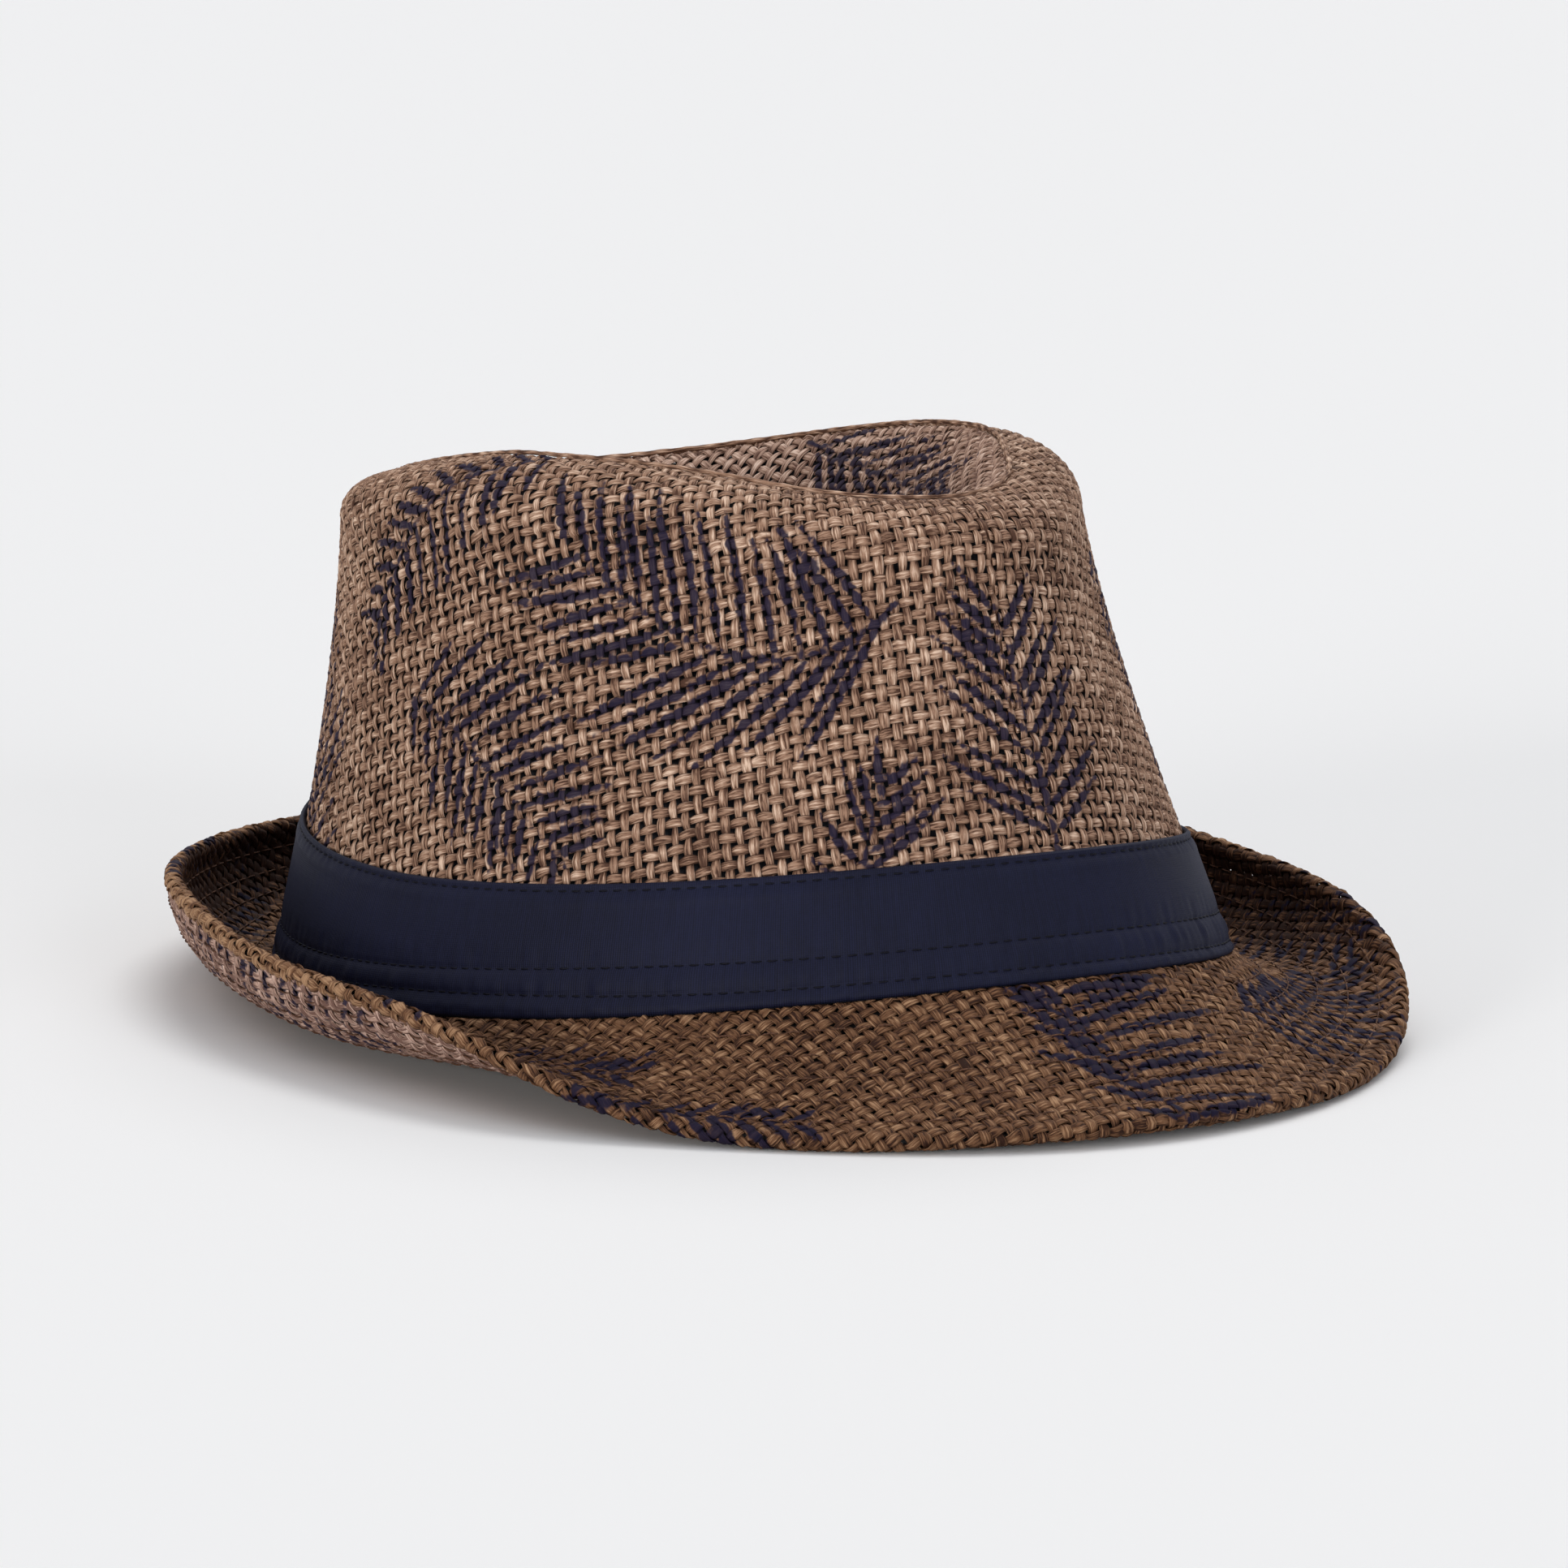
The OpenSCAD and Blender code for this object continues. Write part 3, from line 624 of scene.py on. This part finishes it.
crown_print = printed([
    frond(-21, 75, 222, -93, 82, (31, 16, 46), (29, 88, 26), 1, 2.0),
    frond(-138, 83, -31, -24, 60, (23, 58, 48), (17, 62, 48), 2),
    frond(-96, 126, 186, 30, 62, (20, 76, 34), (14, 56, 40), 3),
    frond(-38, 18, 86, -24, 25, (15, 46, 20), (17, 58, 28), 4, 1.9, 4.0),
    frond(5, 22, 88, 12, 47, (25, 58, 34), (24, 54, 44), 5),
    frond(57, 90, -76, 12, 58, (17, 56, 40), (17, 56, 40), 6),
    frond(-190, 48, 76, 20, 62, (24, 66, 32), (24, 62, 32), 7),
    frond(98, 104, -70, -14, 66, (25, 62, 32), (22, 60, 30), 8),
    frond(160, 36, 84, 16, 66, (25, 64, 32), (25, 60, 30), 9),
    frond(226, 104, 192, 20, 50, (24, 62, 34), (20, 60, 30), 10),
    frond(-236, 100, -76, 30, 68, (25, 62, 32), (24, 60, 30), 11),
    frond(236, 38, 94, 10, 52, (22, 60, 32), (22, 60, 32), 12),
])


def half_of_cloth(sign):
    return lambda x, y: np.where(x * sign > 0, 1.0, -1.0)


def direction(along):
    return "weft" if along == "x" else "warp"


# A straw's width, half its thickness, how far it goes over and under, and how deep it all lies.
weft_width, warp_width = 1.72, 1.55
crown_half, crown_lift, crown_sink = 0.27, 0.33, 0.75
crown_pieces = []
for part, sign in (("right", -1), ("left", 1)):
    for along, span, lines, width in (("x", (-300, 300), (0, 78), weft_width),
                                      ("y", (0, 215), (-112, 112), warp_width)):
        made = strands(f"crown_side_{direction(along)}_{part}", side_cloth, along, span, lines,
                       10 + (along == "x"), width, crown_half, crown_lift, crown_sink,
                       crown_print, half_of_cloth(sign))
        made.data.materials.append(straw)
        crown_pieces.append(made)
for made in crown_pieces:
    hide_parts("crown_side")


# ---- Crown tip: the second cloth of the same straw, pressed down into a teardrop crease. Its
# straws run straight to the front and straight across, and its edge is turned in at the seam.
tip_v = np.linspace(4, 2, 81)
tip_grid = crown_pt(turns[:, None], tip_v[None, :])
tip_turn = np.unwrap(np.arctan2(tip_grid[:, -1, 1] - tip_middle[1], tip_grid[:, -1, 0]))
tip_plan = np.hypot(tip_grid[..., 0], tip_grid[..., 1] - tip_middle[1])
give = 0.2      # share of the cloth's run that is measured level, since it gives as it is pressed
tip_run = give * tip_plan + (1 - give) * run_of(tip_grid, 1)
tip_share = np.array([np.interp(shares * r[-1], r, tip_v) for r in tip_run])


def tip_cloth(x, y):
    reach, turn = np.hypot(x, y), np.arctan2(y, x)
    turn = np.where(turn < tip_turn[0], turn + 2 * np.pi, turn)
    turn = np.where(turn > tip_turn[-1], turn - 2 * np.pi, turn)
    t = np.interp(turn, tip_turn, turns)
    full = np.interp(t, turns, tip_run[:, -1]) - fold
    held = np.minimum(reach, full)
    i = (t + np.pi) / (2 * np.pi) * last_turn
    v = look_up(tip_share, i, held / (full + fold) * last_share)
    p = crown_pt(t, v)
    over = reach - full
    near = over > 0
    if near.any():
        q, w, e = t[near], v[near], 1e-4
        along = unit(crown_pt(q, w - e) - crown_pt(q, w))
        round_it = unit(crown_pt(q + e, w) - crown_pt(q, w))
        p[near] = turned_in(p[near], over[near], along, unit(np.cross(along, round_it)))
    return p, full + turn_in - reach


# A paler, pinker copy of the crown's straw: painted light on the tip and its crease.
tip_straw_painted_light = straw_finish("tip_straw_painted_light", (0.80, 0.60, 0.49), (0.42, 0.268, 0.200), (0.12, 0.062, 0.046))
tip_print = printed([
    frond(50, 40, -96, -8, 76, (26, 22, 16), (30, 24, 16), 21, 1.6, 7.0),
    frond(-34, -50, 82, -20, 62, (22, 60, 32), (22, 60, 32), 22),
    frond(4, 72, 204, 30, 50, (20, 60, 32), (20, 60, 32), 23),
])
seam_line = side_grid[:, -1]
seam_run = run_of(seam_line, 0)


def fold_cloth(x, y):
    """Round the seam's lip, where the side's last straw is bent over the turned edge."""
    t = np.interp(x, seam_run, turns)
    p, seam = crown_pt(t, 1.985 + 0 * t), crown_pt(t, 2.0 + 0 * t)
    lift, end = 0.1, 2
    return p + unit(seam - p) * y[..., None] + up * lift, np.minimum(x - end, seam_run[-1] - end - x)


# The lip's straws are given a lighter tone: a painted highlight along the seam's ridge.
lip = strands("crown_lip_straw", fold_cloth, "x", (0, 420), (0, 0), seed=50, width=1.0, half=0.42,
              lift=0.04, sink=0, ink=lambda x, y: np.full(len(x), no_ink),
              shade=lambda x, y: 0.12 + 0 * x)
lip.data.materials.append(straw)
for along, span, lines, width in (("x", (-110, 110), (-50, 50), weft_width),
                                  ("y", (-130, 130), (-42, 42), warp_width)):
    made = strands(f"crown_tip_{direction(along)}", tip_cloth, along, span, lines, 20 + (along == "x"),
                   width, crown_half, crown_lift, crown_sink, tip_print)
    made.data.materials.append(tip_straw_painted_light)
    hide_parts("crown_tip")


# ---- Brim: two plies of the same straw with a dark stiffener between them. The upper one rolls
# over the wire in the edge; the sides and the back are curled up and the front snapped down.
ply_middle, rim_middle = 0.9, 1.4       # from the brim's middle to the ply's, flat and at the wire
rim_r = 2.1


def brim_w(t):
    return blend(t, 39, 35, 28.5, 2)


def brim_slope(t, turn_at, front, side, back):
    """A slope that goes from its value at the front to those behind it round an angle."""
    snap = fade(round_from_front(t), turn_at, 8.7)
    return np.radians(front * snap + (1 - snap) * blend(t, side, side, back, 1))


def inner_slope(t):
    return brim_slope(t, 93, -40, 5, 1)


def edge_slope(t):
    return brim_slope(t, 56, -33, 100 + 12 * np.sin(t), 104)


def brim_frame(t, x):
    """A point of the brim's middle at x from the crown, the way outwards there, and the way up."""
    a, b = inner_slope(t), edge_slope(t)
    straight = 0.002
    turned = np.where(np.abs(b - a) < straight, straight, b - a)
    r = brim_w(t) / turned
    s = a + turned * np.maximum(x, 0) / brim_w(t)
    way = outward(t)
    p = (oval(t) + way * (r * (np.sin(s) - np.sin(a)) + np.minimum(x, 0))[..., None]
         + up * (headline_z(t) + r * (np.cos(a) - np.cos(s)))[..., None])
    return (p, way * np.cos(s)[..., None] + up * np.sin(s)[..., None],
            up * np.cos(s)[..., None] - way * np.sin(s)[..., None])


def from_oval(x, y):
    """The turn and the distance from the crown of a point of the brim's flat cloth."""
    t = np.arctan2(x / crown_wid, -y / crown_len)
    for _ in range(6):
        dx = x - crown_wid / 2 * np.sin(t) * (1 - egg * np.cos(t))
        dy = y + crown_len / 2 * np.cos(t)
        ax = crown_wid / 2 * (np.cos(t) - egg * np.cos(2 * t))
        ay = crown_len / 2 * np.sin(t)
        bx = -crown_wid / 2 * (np.sin(t) - 2 * egg * np.sin(2 * t))
        by = crown_len / 2 * np.cos(t)
        t = t - (dx * ax + dy * ay) / np.minimum(-1, dx * bx + dy * by - ax * ax - ay * ay)
    way = outward(t)
    return t, dx * way[..., 0] + dy * way[..., 1]


off_cloth = -9


def in_opening(x, y):
    return np.hypot(x / crown_wid, y / crown_len) < 0.38


def upper_cloth(x, y):
    core = in_opening(x, y)
    t, x = from_oval(x, y)
    wire = brim_w(t) - rim_r
    p, way, top = brim_frame(t, np.minimum(x, wire))
    taper, turned_up, past_wire = 3.9, 1.5, 1.2
    high = mix(ply_middle, rim_middle, ease((x - wire + taper) / taper))
    a = np.pi / 2 - np.clip((x - wire) / rim_middle, 0, np.pi)
    under = np.maximum(x - wire - np.pi * rim_middle, 0)
    flat = x <= wire
    out = np.where(flat, 0, rim_middle * np.cos(a)) - under
    lift = np.where(flat, high, rim_middle * np.sin(a) + 0.5 * under)
    inside = np.minimum(x + turned_up, wire + np.pi * rim_middle + past_wire - x)
    return p + way * out[..., None] + top * lift[..., None], np.where(core, off_cloth, inside)


def lower_cloth(x, y):
    core = in_opening(x, y)
    t, x = from_oval(x, y)
    end, edge, inner, turned_up = brim_w(t) - rim_r - 0.8, 1.2, -3.25, 7
    p, way, top = brim_frame(t, np.clip(x, inner, end))
    over, up_it = np.clip((x - end) / edge, 0, 1), np.maximum(inner - x, 0)
    nipped = ply_middle - 0.6 * over ** 2
    p = p - top * nipped[..., None] + way * np.maximum(x - end, 0)[..., None]
    inside = np.minimum(x + turned_up, end + edge - x)
    return p + up * up_it[..., None], np.where(core, off_cloth, inside)


brim_straw = straw_finish("brim_straw", (0.40, 0.235, 0.132), (0.150, 0.071, 0.036),
                          (0.026, 0.010, 0.006), (0.0025, 0.0025, 0.012), (0.010, 0.009, 0.034))
brim_print = printed([
    frond(5, -148, 112, -12, 50, (17, 44, 30), (34, 98, 82), 31, 2.1, 4.2),
    frond(38, -108, 10, 44, 66, (17, 52, 36), (24, 58, 44), 32, 2.4),
    frond(-101, -84, -42, 4, 46, (9, 58, 36), (13, 60, 36), 33, 2.0),
    frond(-112, -34, -66, 16, 54, (18, 62, 34), (14, 60, 34), 34),
    frond(-106, 54, 54, -10, 66, (22, 62, 34), (20, 60, 34), 35),
    frond(-24, 134, -2, -20, 70, (20, 62, 34), (20, 60, 34), 36),
    frond(98, 86, -60, -16, 66, (22, 62, 34), (20, 60, 34), 37),
    frond(104, -4, -88, -6, 62, (18, 62, 34), (22, 60, 34), 38),
])
# A lighter copy of the same straw for the lower ply: painted light on the brim's underside.
under_straw_painted_light = straw_finish("under_straw_painted_light", (0.92, 0.71, 0.61), (0.54, 0.355, 0.28), (0.17, 0.092, 0.072))
under_print = printed([
    frond(-110, 48, -94, 6, 84, (20, 62, 34), (18, 60, 34), 41),
    frond(-78, -94, -42, 20, 60, (18, 62, 34), (20, 60, 34), 42),
    frond(28, -130, 8, 20, 60, (20, 62, 34), (20, 60, 34), 43),
    frond(108, -32, 90, 10, 76, (20, 62, 34), (20, 60, 34), 44),
    frond(62, 116, 148, 20, 80, (20, 62, 34), (20, 60, 34), 45),
])


def brim_painted_light(x, y):
    """Painted shade on the straws of the curled face, and a painted highlight on those of its edge."""
    t, out = from_oval(x, y)
    curled = 1 - fade(round_from_front(t), 66, 8)
    edge = ease((out - brim_w(t) + rim_r) / 2.5)
    return curled * (0.35 * edge - 0.55 * ease((out - 4) / 18) * (1 - edge))


brim_width, brim_half, brim_lift = 2.05, 0.24, 0.26
# The upper ply takes the painted shade inside its curl and the painted highlight on its edge; the lower
# ply has none.
for ply, cloth, seed, ink, shade, material, slot in (
        ("upper", upper_cloth, 30, brim_print, brim_painted_light, brim_straw, "straw"),
        ("lower", lower_cloth, 40, under_print, None, under_straw_painted_light, "straw_under")):
    for along, span, lines in (("x", (-130, 130), (-60, 60)), ("y", (-150, 150), (-52, 52))):
        made = strands(f"brim_{ply}_{direction(along)}", cloth, along, span, lines,
                       seed + (along == "x"), brim_width, brim_half, brim_lift, 0, ink, shade=shade)
        made.data.materials.append(material)
        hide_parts(f"brim_{ply}_ply")


# ---- Lining: a thin dark cloth inside the crown, cut to the same form. It backs the open weave,
# and its edge goes down behind the sweatband.
def cloth_grid(name, across, down, place, thick, material, node):
    """A sheet: a grid laid on its place, with its thickness behind the face that is seen."""
    bpy.ops.object.select_all(action="DESELECT")
    bpy.ops.mesh.primitive_grid_add(x_subdivisions=across, y_subdivisions=down, size=2)
    piece = bpy.context.object
    piece.name = piece.data.name = name
    count = len(piece.data.vertices)
    co = np.empty(count * 3, np.float32)
    piece.data.vertices.foreach_get("co", co)
    co = co.reshape(-1, 3).astype(float)
    u, v = (co[:, 0] + 1) / 2, (co[:, 1] + 1) / 2
    points, run, rise = place(u, v)
    piece.data.vertices.foreach_set("co", at_rest(points).astype(np.float32).ravel())
    corner = np.empty(len(piece.data.loops), np.int32)
    piece.data.loops.foreach_get("vertex_index", corner)
    coords = piece.data.uv_layers.active
    coords.name = "cloth"
    coords.data.foreach_set("uv", np.stack([run, rise], -1)[corner].astype(np.float32).ravel())
    piece.data.update()
    bpy.ops.object.mode_set(mode="EDIT")
    bpy.ops.mesh.select_all(action="SELECT")
    bpy.ops.mesh.remove_doubles(threshold=0.00002)
    bpy.ops.object.mode_set(mode="OBJECT")
    walls = piece.modifiers.new("thickness", "SOLIDIFY")
    walls.thickness, walls.offset = thick / 1000, -1
    bpy.ops.object.modifier_apply(modifier="thickness")
    bpy.ops.object.shade_smooth()
    piece.data.materials.append(material)
    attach(piece, "root")
    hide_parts(node)
    return piece


def cloth_finish(name, dark, light, period, ribs, gloss, shine=0.35):
    """Fine ribbed cloth: close ribs across it, a softer weft, and a slow change of tone."""
    made, s = finish(name, Roughness=gloss, Specular_IOR_Level=shine, Sheen_Weight=0.02,
                     Sheen_Roughness=0.35, Sheen_Tint=(0.6, 0.66, 0.9, 1))
    flat = s.out("UVMap", 0, {"uv_map": "cloth"})
    x, y, _ = flat.parts()
    wobble = flat.stretched(0.35, 0.05, 1).noise(1.0, 2.0)
    rib = (x * (2 * math.pi / period) + wobble * 7).wave() * 0.5 + 0.5
    weft = (y * (2 * math.pi / (period * 0.8))).wave() * 0.5 + 0.5
    slub = flat.stretched(1.5, 0.12, 1).noise(1.0, 2.0)
    slow = s.here.noise(28.0, 3.0)
    fluff = s.here.noise(900.0, 2.0)
    tone = (rib * ribs + weft * 0.15 + (slub - 0.5) * 0.7 + (slow - 0.5) * 0.9 + fluff * 0.25)
    s.feed(Base_Color=tone.step(0.0, 1.1).between(dark, light), Roughness=gloss + 0.12 * slub,
           Normal=s.bump(rib * ribs + weft * 0.25 + slub * 0.6 + fluff * 0.3, 0.5, 0.00012))
    return made


lining_cloth = cloth_finish("lining_cloth", (0.004, 0.004, 0.007), (0.010, 0.011, 0.018),
                            0.5, 0.4, 0.6)
lining_in = 3.2


def crown_inside(t, v, depth):
    """A point of the crown's surface moved inwards by depth along its normal."""
    e, last = 1e-3, 3.8
    w = np.clip(v, 0.004, last)
    low, high = crown_pt(t, w - e), crown_pt(t, w + e)
    top = unit(np.cross(crown_pt(t + e, w) - crown_pt(t - e, w), high - low))
    inner = np.maximum(v - last, 0)[..., None] / 0.2
    return mix(crown_pt(t, w) - top * depth[..., None], tip_middle - up * depth[..., None], inner)


def lining_place(u, v):
    t = u * 2 * np.pi
    foot, middle = 0.09, 4
    return crown_inside(t, mix(foot, middle, v), lining_in + 0 * t), u * 500, v * 200


lining = cloth_grid("lining_cap", 240, 90, lining_place, 0.4, lining_cloth, "crown_lining")


# ---- Sweatband: a strip of navy twill inside the headline, joined at the back, sewn to the
# brim's turned-up edge along its foot and free along its top.
sweat_h, sweat_in, sweat_seam = 32.0, 4.9, 2
sweat_cloth = cloth_finish("sweatband_twill", (0.012, 0.014, 0.028), (0.030, 0.034, 0.060),
                           0.9, 0.8, 0.7)


def sweat_place(u, v):
    t = np.pi - u * 2 * np.pi
    h = v * sweat_h
    swell = 0.25 * np.exp(-((h - 30.5) / 1.6) ** 2) - 0.2 * np.exp(-((h - sweat_seam) / 0.8) ** 2)
    return wall_at(t, h, sweat_in + swell), u * 560, h


sweatband = cloth_grid("sweatband_strip", 400, 26, sweat_place, 0.9, sweat_cloth,
                       "sweatband")

tape_cloth = cloth_finish("tape_cloth", (0.006, 0.006, 0.009), (0.018, 0.018, 0.026), 0.6, 0.7, 0.7)


def tape_place(wide, low, high, depth):
    def place(u, v):
        t = np.pi + (u - 0.5) * wide / (crown_wid / 2)
        h = mix(low, high, v)
        return wall_at(t, h, depth + 0 * h), u * wide, h
    return place


join_place = tape_place(wide=12, low=3, high=31, depth=5.65)
join_tape = cloth_grid("join_tape_strip", 12, 30, join_place, 0.4, tape_cloth,
                       "sweatband_join_tape")
seam_place = tape_place(wide=16, low=10, high=78, depth=1.95)
seam_tape = cloth_grid("seam_tape_strip", 12, 60, seam_place, 0.4, tape_cloth,
                       "crown_back_seam_tape")


# ---- Hatband: a strip of navy ribbed cloth, hemmed along its top and folded under along its
# foot, held by one row of stitches at the top and two near the foot, and lapped at the back.
band_cloth = cloth_finish("hatband_cloth", (0.0036, 0.0040, 0.0125), (0.0110, 0.0130, 0.0380), 0.46,
                          0.55, 0.52, 0.12)
band_t, lap_turn = 0.9, math.radians(5.9)
band_run = 604      # once round the band, without the lap
band_out = 1.1      # from the wall to the band's outer face
stitch_pitch = 3.0


def band_h(t):
    return blend(t, 24, 26.5, 31, 1)


def band_top_row(t):
    return band_h(t) - 1.3


def rise_at(t, turn):
    return np.exp((np.cos(t - math.radians(turn)) - 1) / 0.14)


def low_row(t):
    return 4.0 + 1.7 * rise_at(t, -78) - 0.5 * rise_at(t, 40)


def mid_row(t):
    return 9.0 + 1.2 * rise_at(t, -66)


def band_foot(t):
    a = inner_slope(t)
    return 1.45 / np.cos(a) + 1.3 * np.tan(a) + 0.3


def gather(run, h, seed):
    """The small folds that sewing draws into the band, from -1 to 1."""
    rng = np.random.default_rng(seed)
    total, lengths = 0, (3.7, 5.3, 7.9, 12.4)
    for length in lengths:
        total = total + np.sin(2 * np.pi * run / length + rng.uniform(0, 6.3)
                               + h * rng.uniform(-0.25, 0.25))
    return total / len(lengths)


def ridge(h, at, wide):
    return np.exp(-((h - at) / wide) ** 2)


def band_face(t, h):
    """The band's outer face, out from the wall: stitched in, gathered, and rounded at its edges."""
    run = (t / (2 * np.pi)) * band_run
    tall, foot, low, mid = band_h(t), band_foot(t), low_row(t), mid_row(t)
    out = band_out + 0.25 * ease((h - mid) / 5) * ease((tall - h) / 4)
    for row in (low, mid, band_top_row(t)):
        stitch = 0.75 + 0.25 * np.cos(2 * np.pi * run / stitch_pitch)
        out = out - 0.42 * stitch * ridge(h, row, 0.55)
    for size, at, wide in ((0.30, (low + foot) / 2, 0.9), (0.28, (low + mid) / 2, 1.7),
                           (0.16, tall - 0.5, 0.5), (0.12, tall - 3.2, 0.7)):
        out = out + size * ridge(h, at, wide)
    pull = 0
    for size, at, wide in ((0.42, 6.8, 2.0), (0.34, 3, 0.9), (0.18, mid + 2.2, 1.8),
                           (0.14, tall - 2.2, 1.0)):
        pull = pull + size * ridge(h, at, wide)
    out = out + gather(run, h, seed=5) * pull
    out = out - 0.75 * np.clip(1 - (h - foot) / 0.8, 0, 1) ** 2
    return out - 0.35 * np.clip(1 - (tall - h) / 0.35, 0, 1) ** 2


lap_over = band_t + 0.15


def lapped(t):
    return lap_over * ease((t - (3 * np.pi - lap_turn - 0.08)) / 0.07)


def band_place(u, v):
    t = np.pi - lap_turn + u * (2 * np.pi + 2 * lap_turn)
    h = mix(band_foot(t), band_h(t), v)
    return wall_at(t, h, -band_face(t, h) - lapped(t)), u * 625, h


band = cloth_grid("hatband_strip", 900, 44, band_place, band_t, band_cloth, "hatband")


# ---- Stitches: lockstitch, each one a short twisted thread that dips into the cloth at its
# ends. Navy thread on the band and the sweatband, and brown on both faces of the brim.
def stitches(name, rows, material, node, radius=0.2, pitch=stitch_pitch, gap=0.45, dip=0.35):
    """rows are functions of the turn that give a thread's point and the way out of the cloth."""
    points, faces = [], []
    sides, rings = 6, 5
    count = 0
    a = np.arange(sides) * 2 * np.pi / sides
    for row, start, end in rows:
        fine = np.linspace(start, end, 3000)
        p, _ = row(fine)
        run = run_of(p, 0)
        number = max(1, int(round(run[-1] / pitch)))
        for k in range(number):
            s = (k + 0.5 + np.linspace(-0.5, 0.5, rings) * (1 - gap / pitch)) * run[-1] / number
            q, out = row(np.interp(s, run, fine))
            bow = 1 - np.abs(np.linspace(-1, 1, rings)) ** 2.5
            q = q + out * (bow * dip - dip)[:, None]
            along = unit(np.gradient(q, axis=0))
            side = unit(np.cross(along, out))
            top = np.cross(side, along)
            size = radius * (0.55 + 0.45 * np.sqrt(bow))
            ring = (q[:, None] + side[:, None] * (np.cos(a)[None, :, None] * size[:, None, None])
                    + top[:, None] * (np.sin(a)[None, :, None] * size[:, None, None]))
            points.append(ring.reshape(-1, 3))
            for r in range(rings - 1):
                for m in range(sides):
                    n = (m + 1) % sides
                    faces.append([count + r * sides + m, count + (r + 1) * sides + m,
                                  count + (r + 1) * sides + n, count + r * sides + n])
            faces.append([count + m for m in range(sides)])
            faces.append([count + (rings - 1) * sides + m for m in reversed(range(sides))])
            count += sides * rings
    mesh = bpy.data.meshes.new(name)
    mesh.from_pydata(at_rest(np.concatenate(points)).tolist(), [], faces)
    mesh.update()
    piece = bpy.data.objects.new(name, mesh)
    bpy.context.collection.objects.link(piece)
    bpy.ops.object.select_all(action="DESELECT")
    piece.select_set(True)
    bpy.context.view_layer.objects.active = piece
    bpy.ops.object.mode_set(mode="EDIT")
    bpy.ops.mesh.select_all(action="SELECT")
    bpy.ops.mesh.normals_make_consistent(inside=False)
    bpy.ops.object.mode_set(mode="OBJECT")
    bpy.ops.object.shade_smooth()
    piece.data.materials.append(material)
    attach(piece, "root")
    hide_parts(node)
    return piece


def thread_finish(name, dark, light):
    made, s = finish(name, Roughness=0.6, Specular_IOR_Level=0.12)
    twist = s.here.noise(2200.0, 2.0)
    s.feed(Base_Color=twist.step(0.3, 0.7).between(dark, light), Roughness=0.45 + 0.2 * twist,
           Normal=s.bump(twist, 0.6, 0.0001))
    return made


navy_thread = thread_finish("navy_thread", (0.0015, 0.0015, 0.004), (0.005, 0.005, 0.012))
brown_thread = thread_finish("brown_thread", (0.055, 0.026, 0.015), (0.14, 0.066, 0.040))
proud = 0.10        # how far the thread's middle stands off the band


def band_row(height):
    def row(t):
        h = height(t)
        return wall_at(t, h, -band_face(t, h) - lapped(t) - proud), outward(t)
    return row


around = (np.pi - lap_turn + 0.02, 3 * np.pi + lap_turn - 0.02)
stitches("hatband_top_stitches", [(band_row(band_top_row), *around)], navy_thread,
         "hatband_top_stitching")
stitches("hatband_lower_stitches", [(band_row(low_row), *around),
                                     (band_row(mid_row), *around)],
         navy_thread, "hatband_lower_stitching")


def lap_row(u):
    t = 3 * np.pi + lap_turn - 0.03 + 0 * u
    h = mix(mid_row(t) + 1, band_top_row(t) - 1, u)
    return wall_at(t, h, -band_face(t, h) - lap_over - proud), outward(t)


stitches("hatband_lap_stitches", [(lap_row, 0, 1)], navy_thread,
         "hatband_lap_stitching")


def brim_row(k, face):
    def row(t):
        p, _, top = brim_frame(t, k * (brim_w(t) - 6) / brim_rows)
        return p + top * (face * 1.5), top * np.sign(face)
    return row


brim_rows = 5
stitches("brim_topstitches",
         [(brim_row(k, face), 0, 2 * np.pi) for k in range(1, brim_rows + 1) for face in (1, -1)],
         brown_thread, "brim_topstitching", radius=0.17, pitch=4.2, gap=0.6, dip=0.5)


def sweat_row(t):
    return wall_at(t, sweat_seam + 0 * t, sweat_in - 0.1 + 0 * t), -outward(t)


stitches("sweatband_stitches", [(sweat_row, 0, 2 * np.pi)], navy_thread,
         "sweatband_stitching")


# ---- Pieces inside the hat: the seam's chain of thread, the overlocked edges, the steel wire in
# the brim's edge and the stiffener between its plies. They keep their solids' shapes.
wire_steel, s = finish("edge_wire_steel", Metallic=0.5, Roughness=0.6)
s.feed(Base_Color=s.here.noise(300.0).between((0.012, 0.012, 0.013), (0.035, 0.033, 0.034)),
       Roughness=0.5 + 0.2 * s.here.noise(150.0))
stiffener, s = finish("stiffener", Roughness=0.9)
felt = s.here.noise(700.0, 4.0).step(0.3, 0.7)
s.feed(Base_Color=felt.between((0.006, 0.005, 0.006), (0.022, 0.017, 0.018)),
       Normal=s.bump(s.here.noise(900.0, 4.0), 0.6, 0.0002))
for node, material in (("crown_tip_seam_thread", brown_thread), ("headline_overlock_thread", brown_thread),
                       ("brim_edge_wire", wire_steel), ("brim_interlining", stiffener)):
    bpy.data.objects[node].data.materials.clear()
    bpy.data.objects[node].data.materials.append(material)
